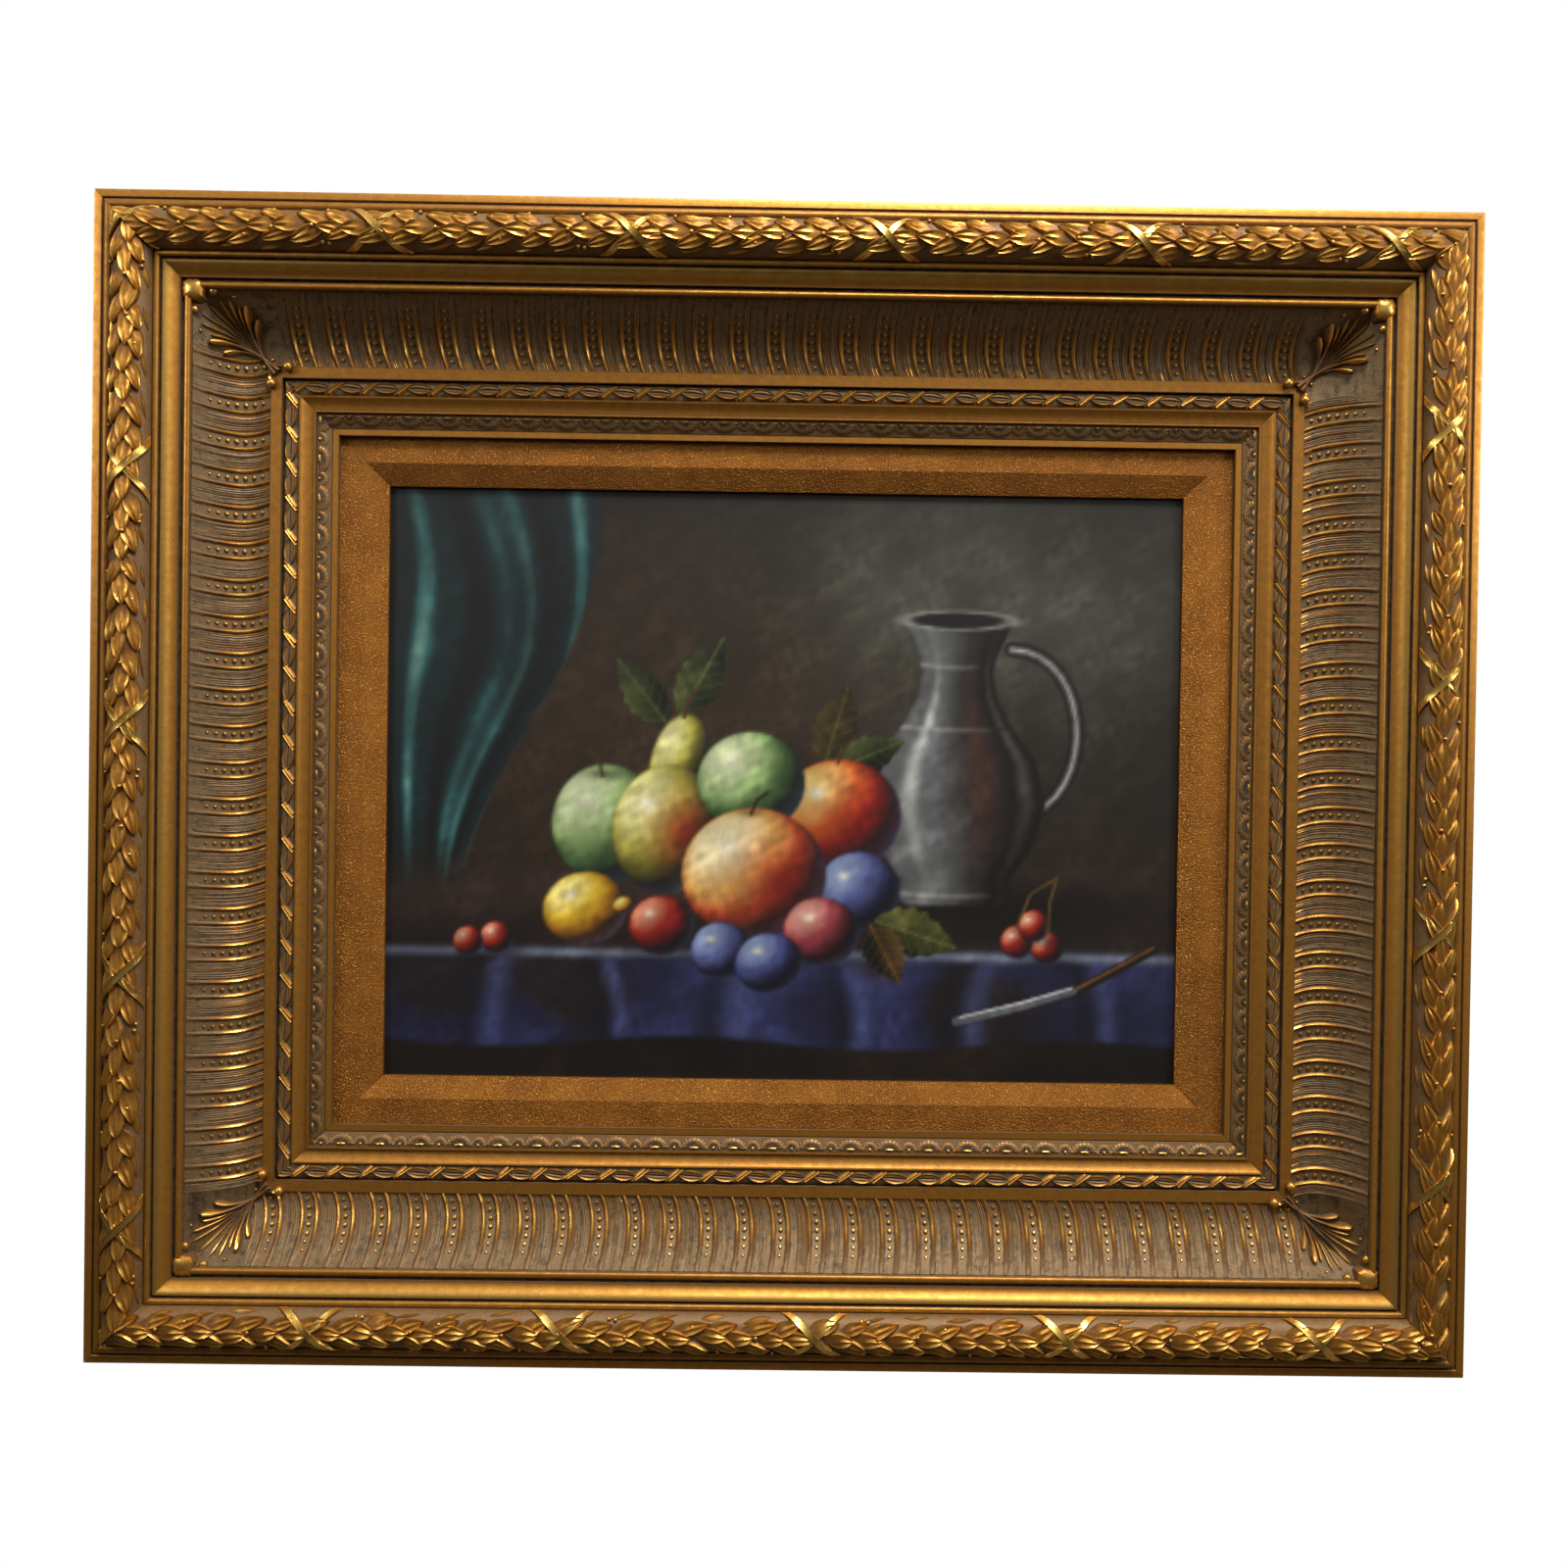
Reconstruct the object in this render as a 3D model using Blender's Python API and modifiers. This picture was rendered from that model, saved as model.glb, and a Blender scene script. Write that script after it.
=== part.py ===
"""A framed oil painting: two nested gilt mouldings, a liner, a canvas and its stretcher.

Metres, +Z up. The painting faces -Y and its back is against the wall, the plane y = 0.
The origin is on the back of the top rail, where the frame hangs.

Every rail is made as a straight stick lying on its back. Its X axis runs along the stick,
its Y axis runs inward from the sight edge, so that the outer edge is at -Y, and its Z axis
is the height above the wall.
"""
import math

import bmesh
import bpy
from mathutils import Matrix, Vector

# Fits between neighbours
GAP = 0.0003
MITRE_GAP = 0.0004
CANVAS_ROOM = 0.0010
SHADOW_GAP = 0.0006

# Canvas and stretcher
CANVAS_WIDTH = 0.4064
CANVAS_HEIGHT = 0.3048
CANVAS_THICKNESS = 0.0007
STRETCHER_WIDTH = 0.038
STRETCHER_DEPTH = 0.015
STRETCHER_SLOPE = 0.0015
STRETCHER_OFF_WALL = 0.0015

# Liner, from the sight edge outward
LINER_COVER = 0.0064
LINER_LIP = 0.0022
LINER_BEVEL_WIDTH = 0.0104
LINER_BEVEL_RISE = 0.0050
LINER_FLAT_WIDTH = 0.0124
LINER_TUCK = 0.0052
LINER_BACK = 0.008

# Inner moulding, from its outer edge inward
TWIST_WIDTH = 0.0073
TWIST_RISE = 0.0018
ROUND_WIDTH = 0.0082
ROUND_RISE = 0.0033
FINE_GROOVE = 0.0004
FINE_GROOVE_DEPTH = 0.0006
TONGUE_BAND_WIDTH = 0.0062
TONGUE_BAND_FALL = 0.0022
INNER_FILLET_WIDTH = 0.0030
INNER_FILLET_THICKNESS = 0.0032
TONGUE_BAND_RISE = 0.0025
ROUND_ABOVE_FILLET = 0.0050
TWIST_ABOVE_FILLET = 0.0049
INNER_BACK = 0.012
INNER_LUG_WIDTH = 0.0045
INNER_LUG_RISE = 0.0017

# Outer moulding, from its outer edge inward
EDGE_FLAT = 0.0041
EDGE_GROOVE = 0.0013
EDGE_BEAD = 0.0045
TORUS_WIDTH = 0.0187
FOOT_BEAD = 0.0031
FOOT_GROOVE = 0.0013
OGEE_WIDTH = 0.0072
OGEE_GROOVE = 0.0013
COVE_BEAD = 0.0034
COVE_WIDTH = 0.0305
OUTER_FILLET_WIDTH = 0.0055

# Outer moulding, heights above its inner fillet or thicknesses
OUTER_FILLET_THICKNESS = 0.0035
FILLET_STEP = 0.0008
COVE_RISE = 0.0188
COVE_BEAD_STEP = 0.0018
OGEE_FALL = 0.0033
OGEE_STEP = 0.0017
GROOVE_DEPTH = 0.0012
FOOT_BEAD_BASE = 0.0242
EDGE_BEAD_BASE = 0.0243
TORUS_TOP = 0.0330
EDGE_TOP = 0.0235
EDGE_FLAT_SLOPE = 0.0010
SIDE_TAPER = 0.0040
LEG_WIDTH = 0.0300
LEG_DEPTH = 0.0140

# Shape of the laurel torus: half of its sweep, and where its main facets meet
TORUS_HALF_SWEEP = math.radians(72.6)
TORUS_FACET = math.radians(50)

# Laurel leaves and ribbon crosses on the torus
CROSS_PERIOD = 0.118
CROSS_HALF_SPAN = 0.0135
STRAP_WIDTH = 0.0040
STRAP_RAISE = 0.0015
STRAP_FLARE = 1.6
OVER_WIDTH = 0.0044
OVER_RAISE = 0.0022
STRAP_SUNK = 0.0006
STRAP_BEND_SHIFT = math.radians(1.5)
LEAF_PITCH = 0.0215
LEAF_START = 0.0195
LEAF_BELLY_BACK = 0.0010
LEAF_LENGTH = 0.0155
LEAF_WIDTH = 0.0068
LEAF_RAISE = 0.0022
LEAF_BURIED = 0.0005
LEAF_SPLAY = math.radians(9)
LEAVES_IN_COLUMN = 4

# Pairs of ribs in the cove
RIB_PITCH = 0.0177
RIB_SPACING = 0.0076
RIB_HALF_WIDTH = 0.0018
RIB_RAISE = 0.0015
RIB_VALLEY = 0.0005
RIB_BULGE = 0.0018
RIB_BEND_SHIFT = 0.0004
RIB_END_RAISE = 0.0004
RIB_START_BACK = 0.0010
RIB_END_RUN = 0.0011
RIB_CORNER_CLEARANCE = 0.027

# Corner sprays: each leaf of the fan by its angle from the mitre and its length
SPRAY_LEAVES = ((0, 0.0415), (12, 0.0310), (23, 0.0285), (34, 0.0235))
SPRAY_TURN = math.radians(1.5)
SPRAY_ROOT_SET = -0.0015
SPRAY_HUB_RADIUS = 0.0032
SPRAY_HUB_OPEN = 0.0020
SPRAY_HUB_LIFT = 0.0004
SPRAY_RAISE = 0.0030
SPRAY_STATIONS = (0.0, 0.62, 1.0)
SPRAY_CREST = (0.6, 1.0, 0.4)
SPRAY_VALLEY = (0.5, 0.35, 0.2)
SPRAY_VALLEY_REACH = 0.82
SPRAY_BALL_RADIUS = 0.0026
SPRAY_BALL_OUT = 0.0051
SPRAY_BALL_LIFT = 0.0021
SPRAY_STEM_WIDTH = 0.0034
SPRAY_STEM_RAISE = 0.0022
SPRAY_STEM_DEPTH = 0.0020
SPRAY_STEM_STATIONS = (0.2, 0.6, 1.0)
SPRAY_PAD_RADIUS = 0.0042
SPRAY_PAD_RAISE = 0.0025
SPRAY_PAD_SET = 0.0020
SPRAY_SEAT_REACH = 0.045
KNOB_SPIN = math.radians(10.5)
KNOB_TIP = math.radians(7.5)

# Smoothness of the plain bands
BEAD_FACETS = 4
ROUND_FACETS = 5
OGEE_FACETS = 3
COVE_FACETS = 2

COVE_CROWDING = 1.3

# Length left on each stick before its ends are mitred, the angle that counts as flat, and
# the smallest cosine by which an offset corner is stretched
STICK_SPARE = 0.012
FLAT_ANGLE = 1e-4
SHARPEST_MITRE = 0.5

# Where a ribbon cross and a pair of ribs fall on each rail, from the middle of the rail
SIDES = {
    "bottom": (0, 0.0178, 0.0016),
    "left": (90, -0.0260, -0.0044),
    "top": (180, 0.0740, 0.0071),
    "right": (270, 0.0546, 0.0080),
}
CORNERS = {"top_right": 0, "bottom_right": 90, "bottom_left": 180, "top_left": 270}

# Heights above the wall that follow from the stack
STRETCHER_FRONT = STRETCHER_OFF_WALL + STRETCHER_DEPTH
CANVAS_FRONT = STRETCHER_FRONT + GAP + CANVAS_THICKNESS
LINER_UNDER = CANVAS_FRONT + GAP
LINER_TOP = LINER_UNDER + LINER_LIP + LINER_BEVEL_RISE
INNER_UNDER = LINER_TOP + GAP
INNER_FILLET_TOP = INNER_UNDER + INNER_FILLET_THICKNESS
LUG_TOP = INNER_FILLET_TOP + INNER_LUG_RISE
OUTER_UNDER = LUG_TOP + GAP
FILLET_TOP = OUTER_UNDER + OUTER_FILLET_THICKNESS
COVE_FOOT = FILLET_TOP - FILLET_STEP

# Widths that follow: distances inward from the outer edge, in order
TORUS_START = EDGE_FLAT + EDGE_GROOVE + EDGE_BEAD
TORUS_MIDDLE = TORUS_START + TORUS_WIDTH / 2
TORUS_RADIUS = TORUS_WIDTH / 2 / math.sin(TORUS_HALF_SWEEP)
TORUS_CENTRE = FILLET_TOP + TORUS_TOP - TORUS_RADIUS
FOOT_START = TORUS_START + TORUS_WIDTH
OGEE_START = FOOT_START + FOOT_BEAD + FOOT_GROOVE
COVE_BEAD_START = OGEE_START + OGEE_WIDTH + OGEE_GROOVE
COVE_START = COVE_BEAD_START + COVE_BEAD
COVE_END = COVE_START + COVE_WIDTH
OUTER_END = COVE_END + OUTER_FILLET_WIDTH
TWIST_START = OUTER_END + SHADOW_GAP
ROUND_START = TWIST_START + TWIST_WIDTH
TONGUE_START = ROUND_START + ROUND_WIDTH + FINE_GROOVE
INNER_FILLET_START = TONGUE_START + TONGUE_BAND_WIDTH + FINE_GROOVE
LINER_START = INNER_FILLET_START + INNER_FILLET_WIDTH
RAIL_WIDTH = LINER_START + LINER_FLAT_WIDTH + LINER_BEVEL_WIDTH
LEG_MIDDLE = SIDE_TAPER + LEG_WIDTH / 2

SIGHT_WIDTH = CANVAS_WIDTH - 2 * LINER_COVER
SIGHT_HEIGHT = CANVAS_HEIGHT - 2 * LINER_COVER
CENTRE_Z = -(SIGHT_HEIGHT / 2 + RAIL_WIDTH - LEG_MIDDLE)


def arc_points(start, end, base, rise, facets):
    """Points of a half round between two distances, both ends included."""
    middle = (start + end) / 2
    half = (end - start) / 2
    turns = [math.pi * (1 - step / facets) for step in range(facets + 1)]
    return [(middle + half * math.cos(turn), base + rise * math.sin(turn)) for turn in turns]


def cove_points():
    """The cove falls steeply from its bead and flattens towards the fillet."""
    points = []
    for step in range(COVE_FACETS + 1):
        share = (step / COVE_FACETS) ** COVE_CROWDING
        points.append((COVE_START + share * COVE_WIDTH, COVE_FOOT + COVE_RISE * (1 - share) ** 2))
    return points


def torus_point(angle, radius=TORUS_RADIUS):
    return (TORUS_MIDDLE + radius * math.sin(angle), TORUS_CENTRE + radius * math.cos(angle))


def outer_face():
    """The carved face of the outer moulding, from its outer edge to its fillet."""
    edge = FILLET_TOP + EDGE_TOP
    bead_base = FILLET_TOP + EDGE_BEAD_BASE
    foot_base = FILLET_TOP + FOOT_BEAD_BASE
    cove_top = COVE_FOOT + COVE_RISE
    bead_top_base = cove_top + COVE_BEAD_STEP
    ogee_low = bead_top_base + OGEE_STEP
    points = [(0, edge - EDGE_FLAT_SLOPE), (EDGE_FLAT, edge)]
    points.append((EDGE_FLAT, edge - GROOVE_DEPTH))
    points.append((EDGE_FLAT + EDGE_GROOVE, edge - GROOVE_DEPTH))
    points += arc_points(EDGE_FLAT + EDGE_GROOVE, TORUS_START, bead_base, EDGE_BEAD / 2, BEAD_FACETS)
    sweep_angles = (-TORUS_HALF_SWEEP, -TORUS_FACET, 0, TORUS_FACET, TORUS_HALF_SWEEP)
    points += [torus_point(angle) for angle in sweep_angles]
    foot_end = FOOT_START + FOOT_BEAD
    points += arc_points(FOOT_START, foot_end, foot_base, FOOT_BEAD / 2, BEAD_FACETS)
    points += [(foot_end, foot_base - GROOVE_DEPTH), (OGEE_START, foot_base - GROOVE_DEPTH)]
    for step in range(OGEE_FACETS + 1):
        share = step / OGEE_FACETS
        fall = OGEE_FALL * (1 - math.cos(math.pi * share)) / 2
        points.append((OGEE_START + share * OGEE_WIDTH, ogee_low + OGEE_FALL - fall))
    groove = bead_top_base - GROOVE_DEPTH / 2
    points += [(OGEE_START + OGEE_WIDTH, groove), (COVE_BEAD_START, groove)]
    points += arc_points(COVE_BEAD_START, COVE_START, bead_top_base, COVE_BEAD / 2, BEAD_FACETS)
    points += cove_points()
    points += [(COVE_END, FILLET_TOP), (OUTER_END, FILLET_TOP)]
    return points


def outer_profile():
    """The whole section: carved face, lip, rebate, hollow back and the leg on the wall."""
    rebate = TWIST_START - INNER_LUG_WIDTH - GAP
    back = [(OUTER_END, OUTER_UNDER), (rebate, OUTER_UNDER), (rebate, LEG_DEPTH)]
    leg_end = SIDE_TAPER + LEG_WIDTH
    return outer_face() + back + [(leg_end, LEG_DEPTH), (leg_end, 0), (SIDE_TAPER, 0)]


def inner_profile():
    """Lug under the outer lip, twisted ribbon, half round, leaf band and sight fillet."""
    twist_top = INNER_FILLET_TOP + TWIST_ABOVE_FILLET
    round_base = INNER_FILLET_TOP + ROUND_ABOVE_FILLET - ROUND_RISE
    band_top = INNER_FILLET_TOP + TONGUE_BAND_RISE
    groove = INNER_FILLET_TOP - FINE_GROOVE_DEPTH
    lug = TWIST_START - INNER_LUG_WIDTH
    points = [(lug, INNER_BACK), (lug, LUG_TOP), (TWIST_START, LUG_TOP)]
    points += arc_points(TWIST_START, ROUND_START, twist_top - TWIST_RISE, TWIST_RISE, ROUND_FACETS)
    points += arc_points(ROUND_START, ROUND_START + ROUND_WIDTH, round_base, ROUND_RISE, ROUND_FACETS)
    band_end = TONGUE_START + TONGUE_BAND_WIDTH
    points += [(TONGUE_START, round_base - FINE_GROOVE_DEPTH), (TONGUE_START, band_top)]
    points += [(band_end, band_top - TONGUE_BAND_FALL), (band_end, groove)]
    points += [(INNER_FILLET_START, groove), (INNER_FILLET_START, INNER_FILLET_TOP)]
    points += [(LINER_START, INNER_FILLET_TOP), (LINER_START, INNER_UNDER)]
    wall = LINER_START - LINER_TUCK - GAP
    return points + [(wall, INNER_UNDER), (wall, INNER_BACK)]


def liner_profile():
    """Tucked edge, speckled flat and the bevel down to the picture, with the canvas rebate."""
    outside = LINER_START - LINER_TUCK
    bevel = LINER_START + LINER_FLAT_WIDTH
    wall = RAIL_WIDTH - LINER_COVER - CANVAS_ROOM
    points = [(outside, LINER_BACK), (outside, LINER_TOP), (bevel, LINER_TOP)]
    points += [(RAIL_WIDTH, LINER_UNDER + LINER_LIP), (RAIL_WIDTH, LINER_UNDER)]
    return points + [(wall, LINER_UNDER), (wall, LINER_BACK)]


def stretcher_profile():
    """A bar that touches the canvas along its outer edge and slopes away inside."""
    outside = RAIL_WIDTH - LINER_COVER + CANVAS_THICKNESS + GAP
    inside = outside + STRETCHER_WIDTH
    back = STRETCHER_OFF_WALL
    points = [(outside, back), (outside, STRETCHER_FRONT)]
    return points + [(inside, STRETCHER_FRONT - STRETCHER_SLOPE), (inside, back)]


def half_sight(side):
    """Half the picture opening along a rail, and across it."""
    if side in ("top", "bottom"):
        return SIGHT_WIDTH / 2, SIGHT_HEIGHT / 2
    return SIGHT_HEIGHT / 2, SIGHT_WIDTH / 2


def sweep(bm, rings):
    """Carry a closed ring of points through the rings that follow it."""
    face = bm.faces.new([bm.verts.new(point) for point in rings[0]])
    for number, ring in enumerate(rings[1:]):
        grown = bmesh.ops.extrude_face_region(bm, geom=[face])["geom"]
        if number > 0:
            bmesh.ops.delete(bm, geom=[face], context="FACES_ONLY")
        face = next(item for item in grown if isinstance(item, bmesh.types.BMFace))
        for vert, point in zip(face.verts, ring):
            vert.co = point


def new_object(name, bm, collection, material=None):
    bmesh.ops.recalc_face_normals(bm, faces=bm.faces[:])
    mesh = bpy.data.meshes.new(name)
    bm.to_mesh(mesh)
    bm.free()
    piece = bpy.data.objects.new(name, mesh)
    collection.objects.link(piece)
    if material:
        mesh.materials.append(material)
    return piece


def bake(piece):
    """Turn the evaluated shape of a piece into its own mesh."""
    graph = bpy.context.evaluated_depsgraph_get()
    graph.update()
    mesh = bpy.data.meshes.new_from_object(piece.evaluated_get(graph))
    mesh.name = piece.name
    piece.modifiers.clear()
    old = piece.data
    piece.data = mesh
    bpy.data.meshes.remove(old)


def combine(piece, tool, operation):
    """Join or cut a piece with a tool, which is removed afterwards."""
    change = piece.modifiers.new(operation.title(), "BOOLEAN")
    change.operation = operation
    change.solver = "EXACT"
    change.object = tool
    bake(piece)
    bpy.data.objects.remove(tool, do_unlink=True)


def make_material(name, colour, metallic, roughness):
    material = bpy.data.materials.new(name)
    material.use_nodes = True
    shader = material.node_tree.nodes["Principled BSDF"]
    shader.inputs["Base Color"].default_value = (*colour, 1)
    shader.inputs["Metallic"].default_value = metallic
    shader.inputs["Roughness"].default_value = roughness
    return material


def tool_object(name, bm, tools):
    tool = new_object(name, bm, tools)
    tool.hide_render = True
    tool.display_type = "WIRE"
    return tool


def stick_point(along, place):
    """A point of a stick from its distance along and its section point."""
    inward, height = place
    return Vector((along, inward - RAIL_WIDTH, height))


def places_along(offset, pitch, reach):
    """Every place at a pitch from an offset that lies within a reach of the middle."""
    first = math.ceil((-reach - offset) / pitch)
    last = math.floor((reach - offset) / pitch)
    return [offset + step * pitch for step in range(first, last + 1)]


def facet_seat(along, place, angle, turn):
    """Axes on a sloping facet: X along the stick, Z out of the facet, turned in its plane."""
    spin = Matrix.Rotation(turn, 4, "Z")
    tilt = Matrix.Rotation(-angle, 4, "X")
    return Matrix.Translation(stick_point(along, place)) @ tilt @ spin


def add_leaf(bm, seat):
    """A laurel leaf with one crest, pointed at both ends and widest towards its stalk."""
    flare = (LEAF_RAISE + LEAF_BURIED) / LEAF_RAISE
    made = bmesh.ops.create_cone(bm, cap_ends=True, segments=4, radius1=1, radius2=0, depth=1)
    height = LEAF_RAISE + LEAF_BURIED
    stretch = Matrix.Diagonal((LEAF_LENGTH / 2 * flare, LEAF_WIDTH / 2 * flare, height, 1))
    lift = Matrix.Translation((0, 0, (LEAF_RAISE - LEAF_BURIED) / 2))
    bmesh.ops.transform(bm, matrix=lift @ stretch, verts=made["verts"])
    for vert in made["verts"]:
        if abs(vert.co.x) < LEAF_LENGTH / 4:
            vert.co.x -= LEAF_BELLY_BACK
    bmesh.ops.transform(bm, matrix=seat, verts=made["verts"])


def add_leaves(bm, cross_offset, reach):
    """Two staggered columns of laurel leaves between the ribbon crosses."""
    middle_radius = TORUS_RADIUS * math.cos(TORUS_FACET / 2)
    for cross in places_along(cross_offset, CROSS_PERIOD, reach + CROSS_PERIOD):
        for side, shift in ((-1, 0), (1, LEAF_PITCH / 2)):
            angle = side * TORUS_FACET / 2
            place = torus_point(angle, middle_radius)
            for number in range(LEAVES_IN_COLUMN):
                along = cross + LEAF_START + shift + number * LEAF_PITCH
                if abs(along) < reach:
                    add_leaf(bm, facet_seat(along, place, angle, side * LEAF_SPLAY))


def add_strap(bm, cross, lean, width, thickness):
    """One ribbon of a cross, over the torus from foot to foot."""
    span = 2 * TORUS_RADIUS * TORUS_HALF_SWEEP
    slant = math.hypot(span, 2 * CROSS_HALF_SPAN) / span
    half = width / 2 * slant
    rings = []
    bends = [turn + STRAP_BEND_SHIFT for turn in (-TORUS_FACET, 0, TORUS_FACET)]
    for angle in (-TORUS_HALF_SWEEP, *bends, TORUS_HALF_SWEEP):
        centre = cross + lean * CROSS_HALF_SPAN * angle / TORUS_HALF_SWEEP
        sunk = thickness + STRAP_SUNK if abs(angle) == TORUS_HALF_SWEEP else 0
        top = torus_point(angle, TORUS_RADIUS + thickness - sunk)
        bottom = torus_point(angle, TORUS_RADIUS - thickness - sunk)
        corners = ((-half * STRAP_FLARE, bottom), (half * STRAP_FLARE, bottom), (0, top))
        rings.append([stick_point(centre + shift, place) for shift, place in corners])
    sweep(bm, rings)


def add_rib_pair(bm, along):
    """Two ribs with a pearl channel between them, bowed along the stick, down the cove."""
    points = cove_points()
    first, second = points[0], points[1]
    slope = (second[1] - first[1]) / (second[0] - first[0])
    start = (first[0] - RIB_START_BACK, first[1] - RIB_START_BACK * slope)
    last, before = points[-1], points[-2]
    end_slope = (last[1] - before[1]) / (last[0] - before[0])
    end = (last[0] + RIB_END_RUN, last[1] + RIB_END_RUN * end_slope)
    stations = [(start, RIB_RAISE)]
    for inward, height in points[1:-1]:
        stations.append(((inward + RIB_BEND_SHIFT, height), RIB_RAISE))
    stations.append((end, RIB_END_RAISE))
    outside = RIB_SPACING / 2 + RIB_HALF_WIDTH
    rings = []
    for (inward, height), lift in stations:
        share = (inward - COVE_START) / COVE_WIDTH
        centre = along + RIB_BULGE * (1 - (2 * share - 1) ** 2)
        valley = RIB_VALLEY * lift / RIB_RAISE
        section = [(-outside, -RIB_RAISE), (-RIB_SPACING / 2, lift), (0, valley)]
        section += [(RIB_SPACING / 2, lift), (outside, -RIB_RAISE)]
        rings.append([stick_point(centre + x, (inward, height + z)) for x, z in section])
    sweep(bm, rings)


def finish_faces(bm, piece):
    """Merge the faces that lie in one plane and write the result to the piece."""
    geometry = {"verts": bm.verts[:], "edges": bm.edges[:]}
    bmesh.ops.dissolve_limit(bm, angle_limit=FLAT_ANGLE, delimit=set(), **geometry)
    bmesh.ops.recalc_face_normals(bm, faces=bm.faces[:])
    bm.to_mesh(piece.data)
    bm.free()


def mitre(piece, half_along):
    """Cut both ends of a stick at 45 degrees through the corner of the picture opening."""
    bm = bmesh.new()
    bm.from_mesh(piece.data)
    for end in (-1, 1):
        normal = Vector((end, 1, 0)).normalized()
        point = Vector((end * half_along, 0, 0)) - normal * (MITRE_GAP / 2)
        geometry = bm.verts[:] + bm.edges[:] + bm.faces[:]
        cut = bmesh.ops.bisect_plane(
            bm, geom=geometry, dist=1e-7, plane_co=point, plane_no=normal, clear_outer=True
        )
        rim = [item for item in cut["geom_cut"] if isinstance(item, bmesh.types.BMEdge)]
        bmesh.ops.holes_fill(bm, edges=rim, sides=0)
    finish_faces(bm, piece)


def straight_stick(bm, profile, reach):
    ends = (-reach, reach)
    sweep(bm, [[stick_point(end, place) for place in profile] for end in ends])


def place_rail(piece, side, holder):
    """Stand a stick in its side of the frame."""
    turn = SIDES[side][0]
    across = half_sight(side)[1]
    angle = math.radians(turn)
    piece.parent = holder
    piece.rotation_euler = (math.pi / 2, angle, 0)
    piece.location = (-across * math.sin(angle), 0, -across * math.cos(angle))


def make_outer_rail(side, parts, tools, material, holder):
    """One stick of the outer moulding with its laurel, crosses and ribs."""
    half_along = half_sight(side)[0]
    cross_offset, rib_offset = SIDES[side][1:]
    reach = half_along + RAIL_WIDTH + STICK_SPARE
    carved = half_along + RAIL_WIDTH
    bm = bmesh.new()
    straight_stick(bm, outer_profile(), reach)
    rail = new_object("outer_rail_" + side, bm, parts, material)
    crosses = places_along(cross_offset, CROSS_PERIOD, carved - CROSS_HALF_SPAN / 2)
    bm = bmesh.new()
    add_leaves(bm, cross_offset, carved - LEAF_LENGTH / 2)
    combine(rail, tool_object("leaves_" + side, bm, tools), "UNION")
    straps = []
    for lean, width, thickness in ((1, STRAP_WIDTH, STRAP_RAISE), (-1, OVER_WIDTH, OVER_RAISE)):
        bm = bmesh.new()
        for cross in crosses:
            add_strap(bm, cross, lean, width, thickness)
        straps.append(tool_object("straps_" + side, bm, tools))
    combine(straps[0], straps[1], "UNION")
    combine(rail, straps[0], "UNION")
    bm = bmesh.new()
    rib_reach = half_along + RAIL_WIDTH - COVE_END - RIB_CORNER_CLEARANCE
    for along in places_along(rib_offset, RIB_PITCH, rib_reach):
        add_rib_pair(bm, along)
    combine(rail, tool_object("ribs_" + side, bm, tools), "UNION")
    mitre(rail, half_along)
    place_rail(rail, side, holder)
    return rail


def make_plain_rail(name, side, profile, parts, material, holder):
    """A stick without carving, mitred."""
    half_along = half_sight(side)[0]
    bm = bmesh.new()
    straight_stick(bm, profile, half_along + RAIL_WIDTH)
    rail = new_object(name + "_" + side, bm, parts, material)
    mitre(rail, half_along)
    place_rail(rail, side, holder)
    return rail


def make_canvas(parts, material, holder):
    """The canvas over the front and the four sides of its stretcher, open behind."""
    bm = bmesh.new()
    bmesh.ops.create_cube(bm, size=1)
    depth = CANVAS_FRONT - STRETCHER_OFF_WALL
    bmesh.ops.scale(bm, vec=(CANVAS_WIDTH, depth, CANVAS_HEIGHT), verts=bm.verts[:])
    middle = -(CANVAS_FRONT + STRETCHER_OFF_WALL) / 2
    bmesh.ops.translate(bm, vec=(0, middle, 0), verts=bm.verts[:])
    back = [face for face in bm.faces if face.normal.y > 0.5]
    bmesh.ops.delete(bm, geom=back, context="FACES_ONLY")
    canvas = new_object("canvas", bm, parts, material)
    shell = canvas.modifiers.new("Cloth", "SOLIDIFY")
    shell.thickness = CANVAS_THICKNESS
    shell.offset = -1
    shell.use_even_offset = True
    canvas.parent = holder
    return canvas


def grown_face():
    """The carved face moved out by the gap along its own normals."""
    points = outer_face()
    moved = []
    for number, (inward, height) in enumerate(points):
        steps = []
        for first, second in ((number - 1, number), (number, number + 1)):
            if 0 <= first and second < len(points):
                run = Vector(points[second]) - Vector(points[first])
                steps.append(Vector((-run.y, run.x)).normalized())
        normal = sum(steps, Vector((0, 0))).normalized()
        stretch = max(normal.dot(steps[0]), SHARPEST_MITRE)
        moved.append((inward + GAP / stretch * normal.x, height + GAP / stretch * normal.y))
    return moved


def surface_height(outward_x, outward_y):
    """Height of the plain outer moulding at a place near its corner."""
    inward = RAIL_WIDTH - max(outward_x, outward_y)
    points = [(COVE_BEAD_START, COVE_FOOT + COVE_RISE + COVE_BEAD_STEP)] + cove_points()
    points.append((OUTER_END, FILLET_TOP))
    for (start, high), (end, low) in zip(points, points[1:]):
        if start <= inward <= end:
            return high + (low - high) * (inward - start) / (end - start)
    return points[0][1] if inward < COVE_BEAD_START else FILLET_TOP


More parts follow.
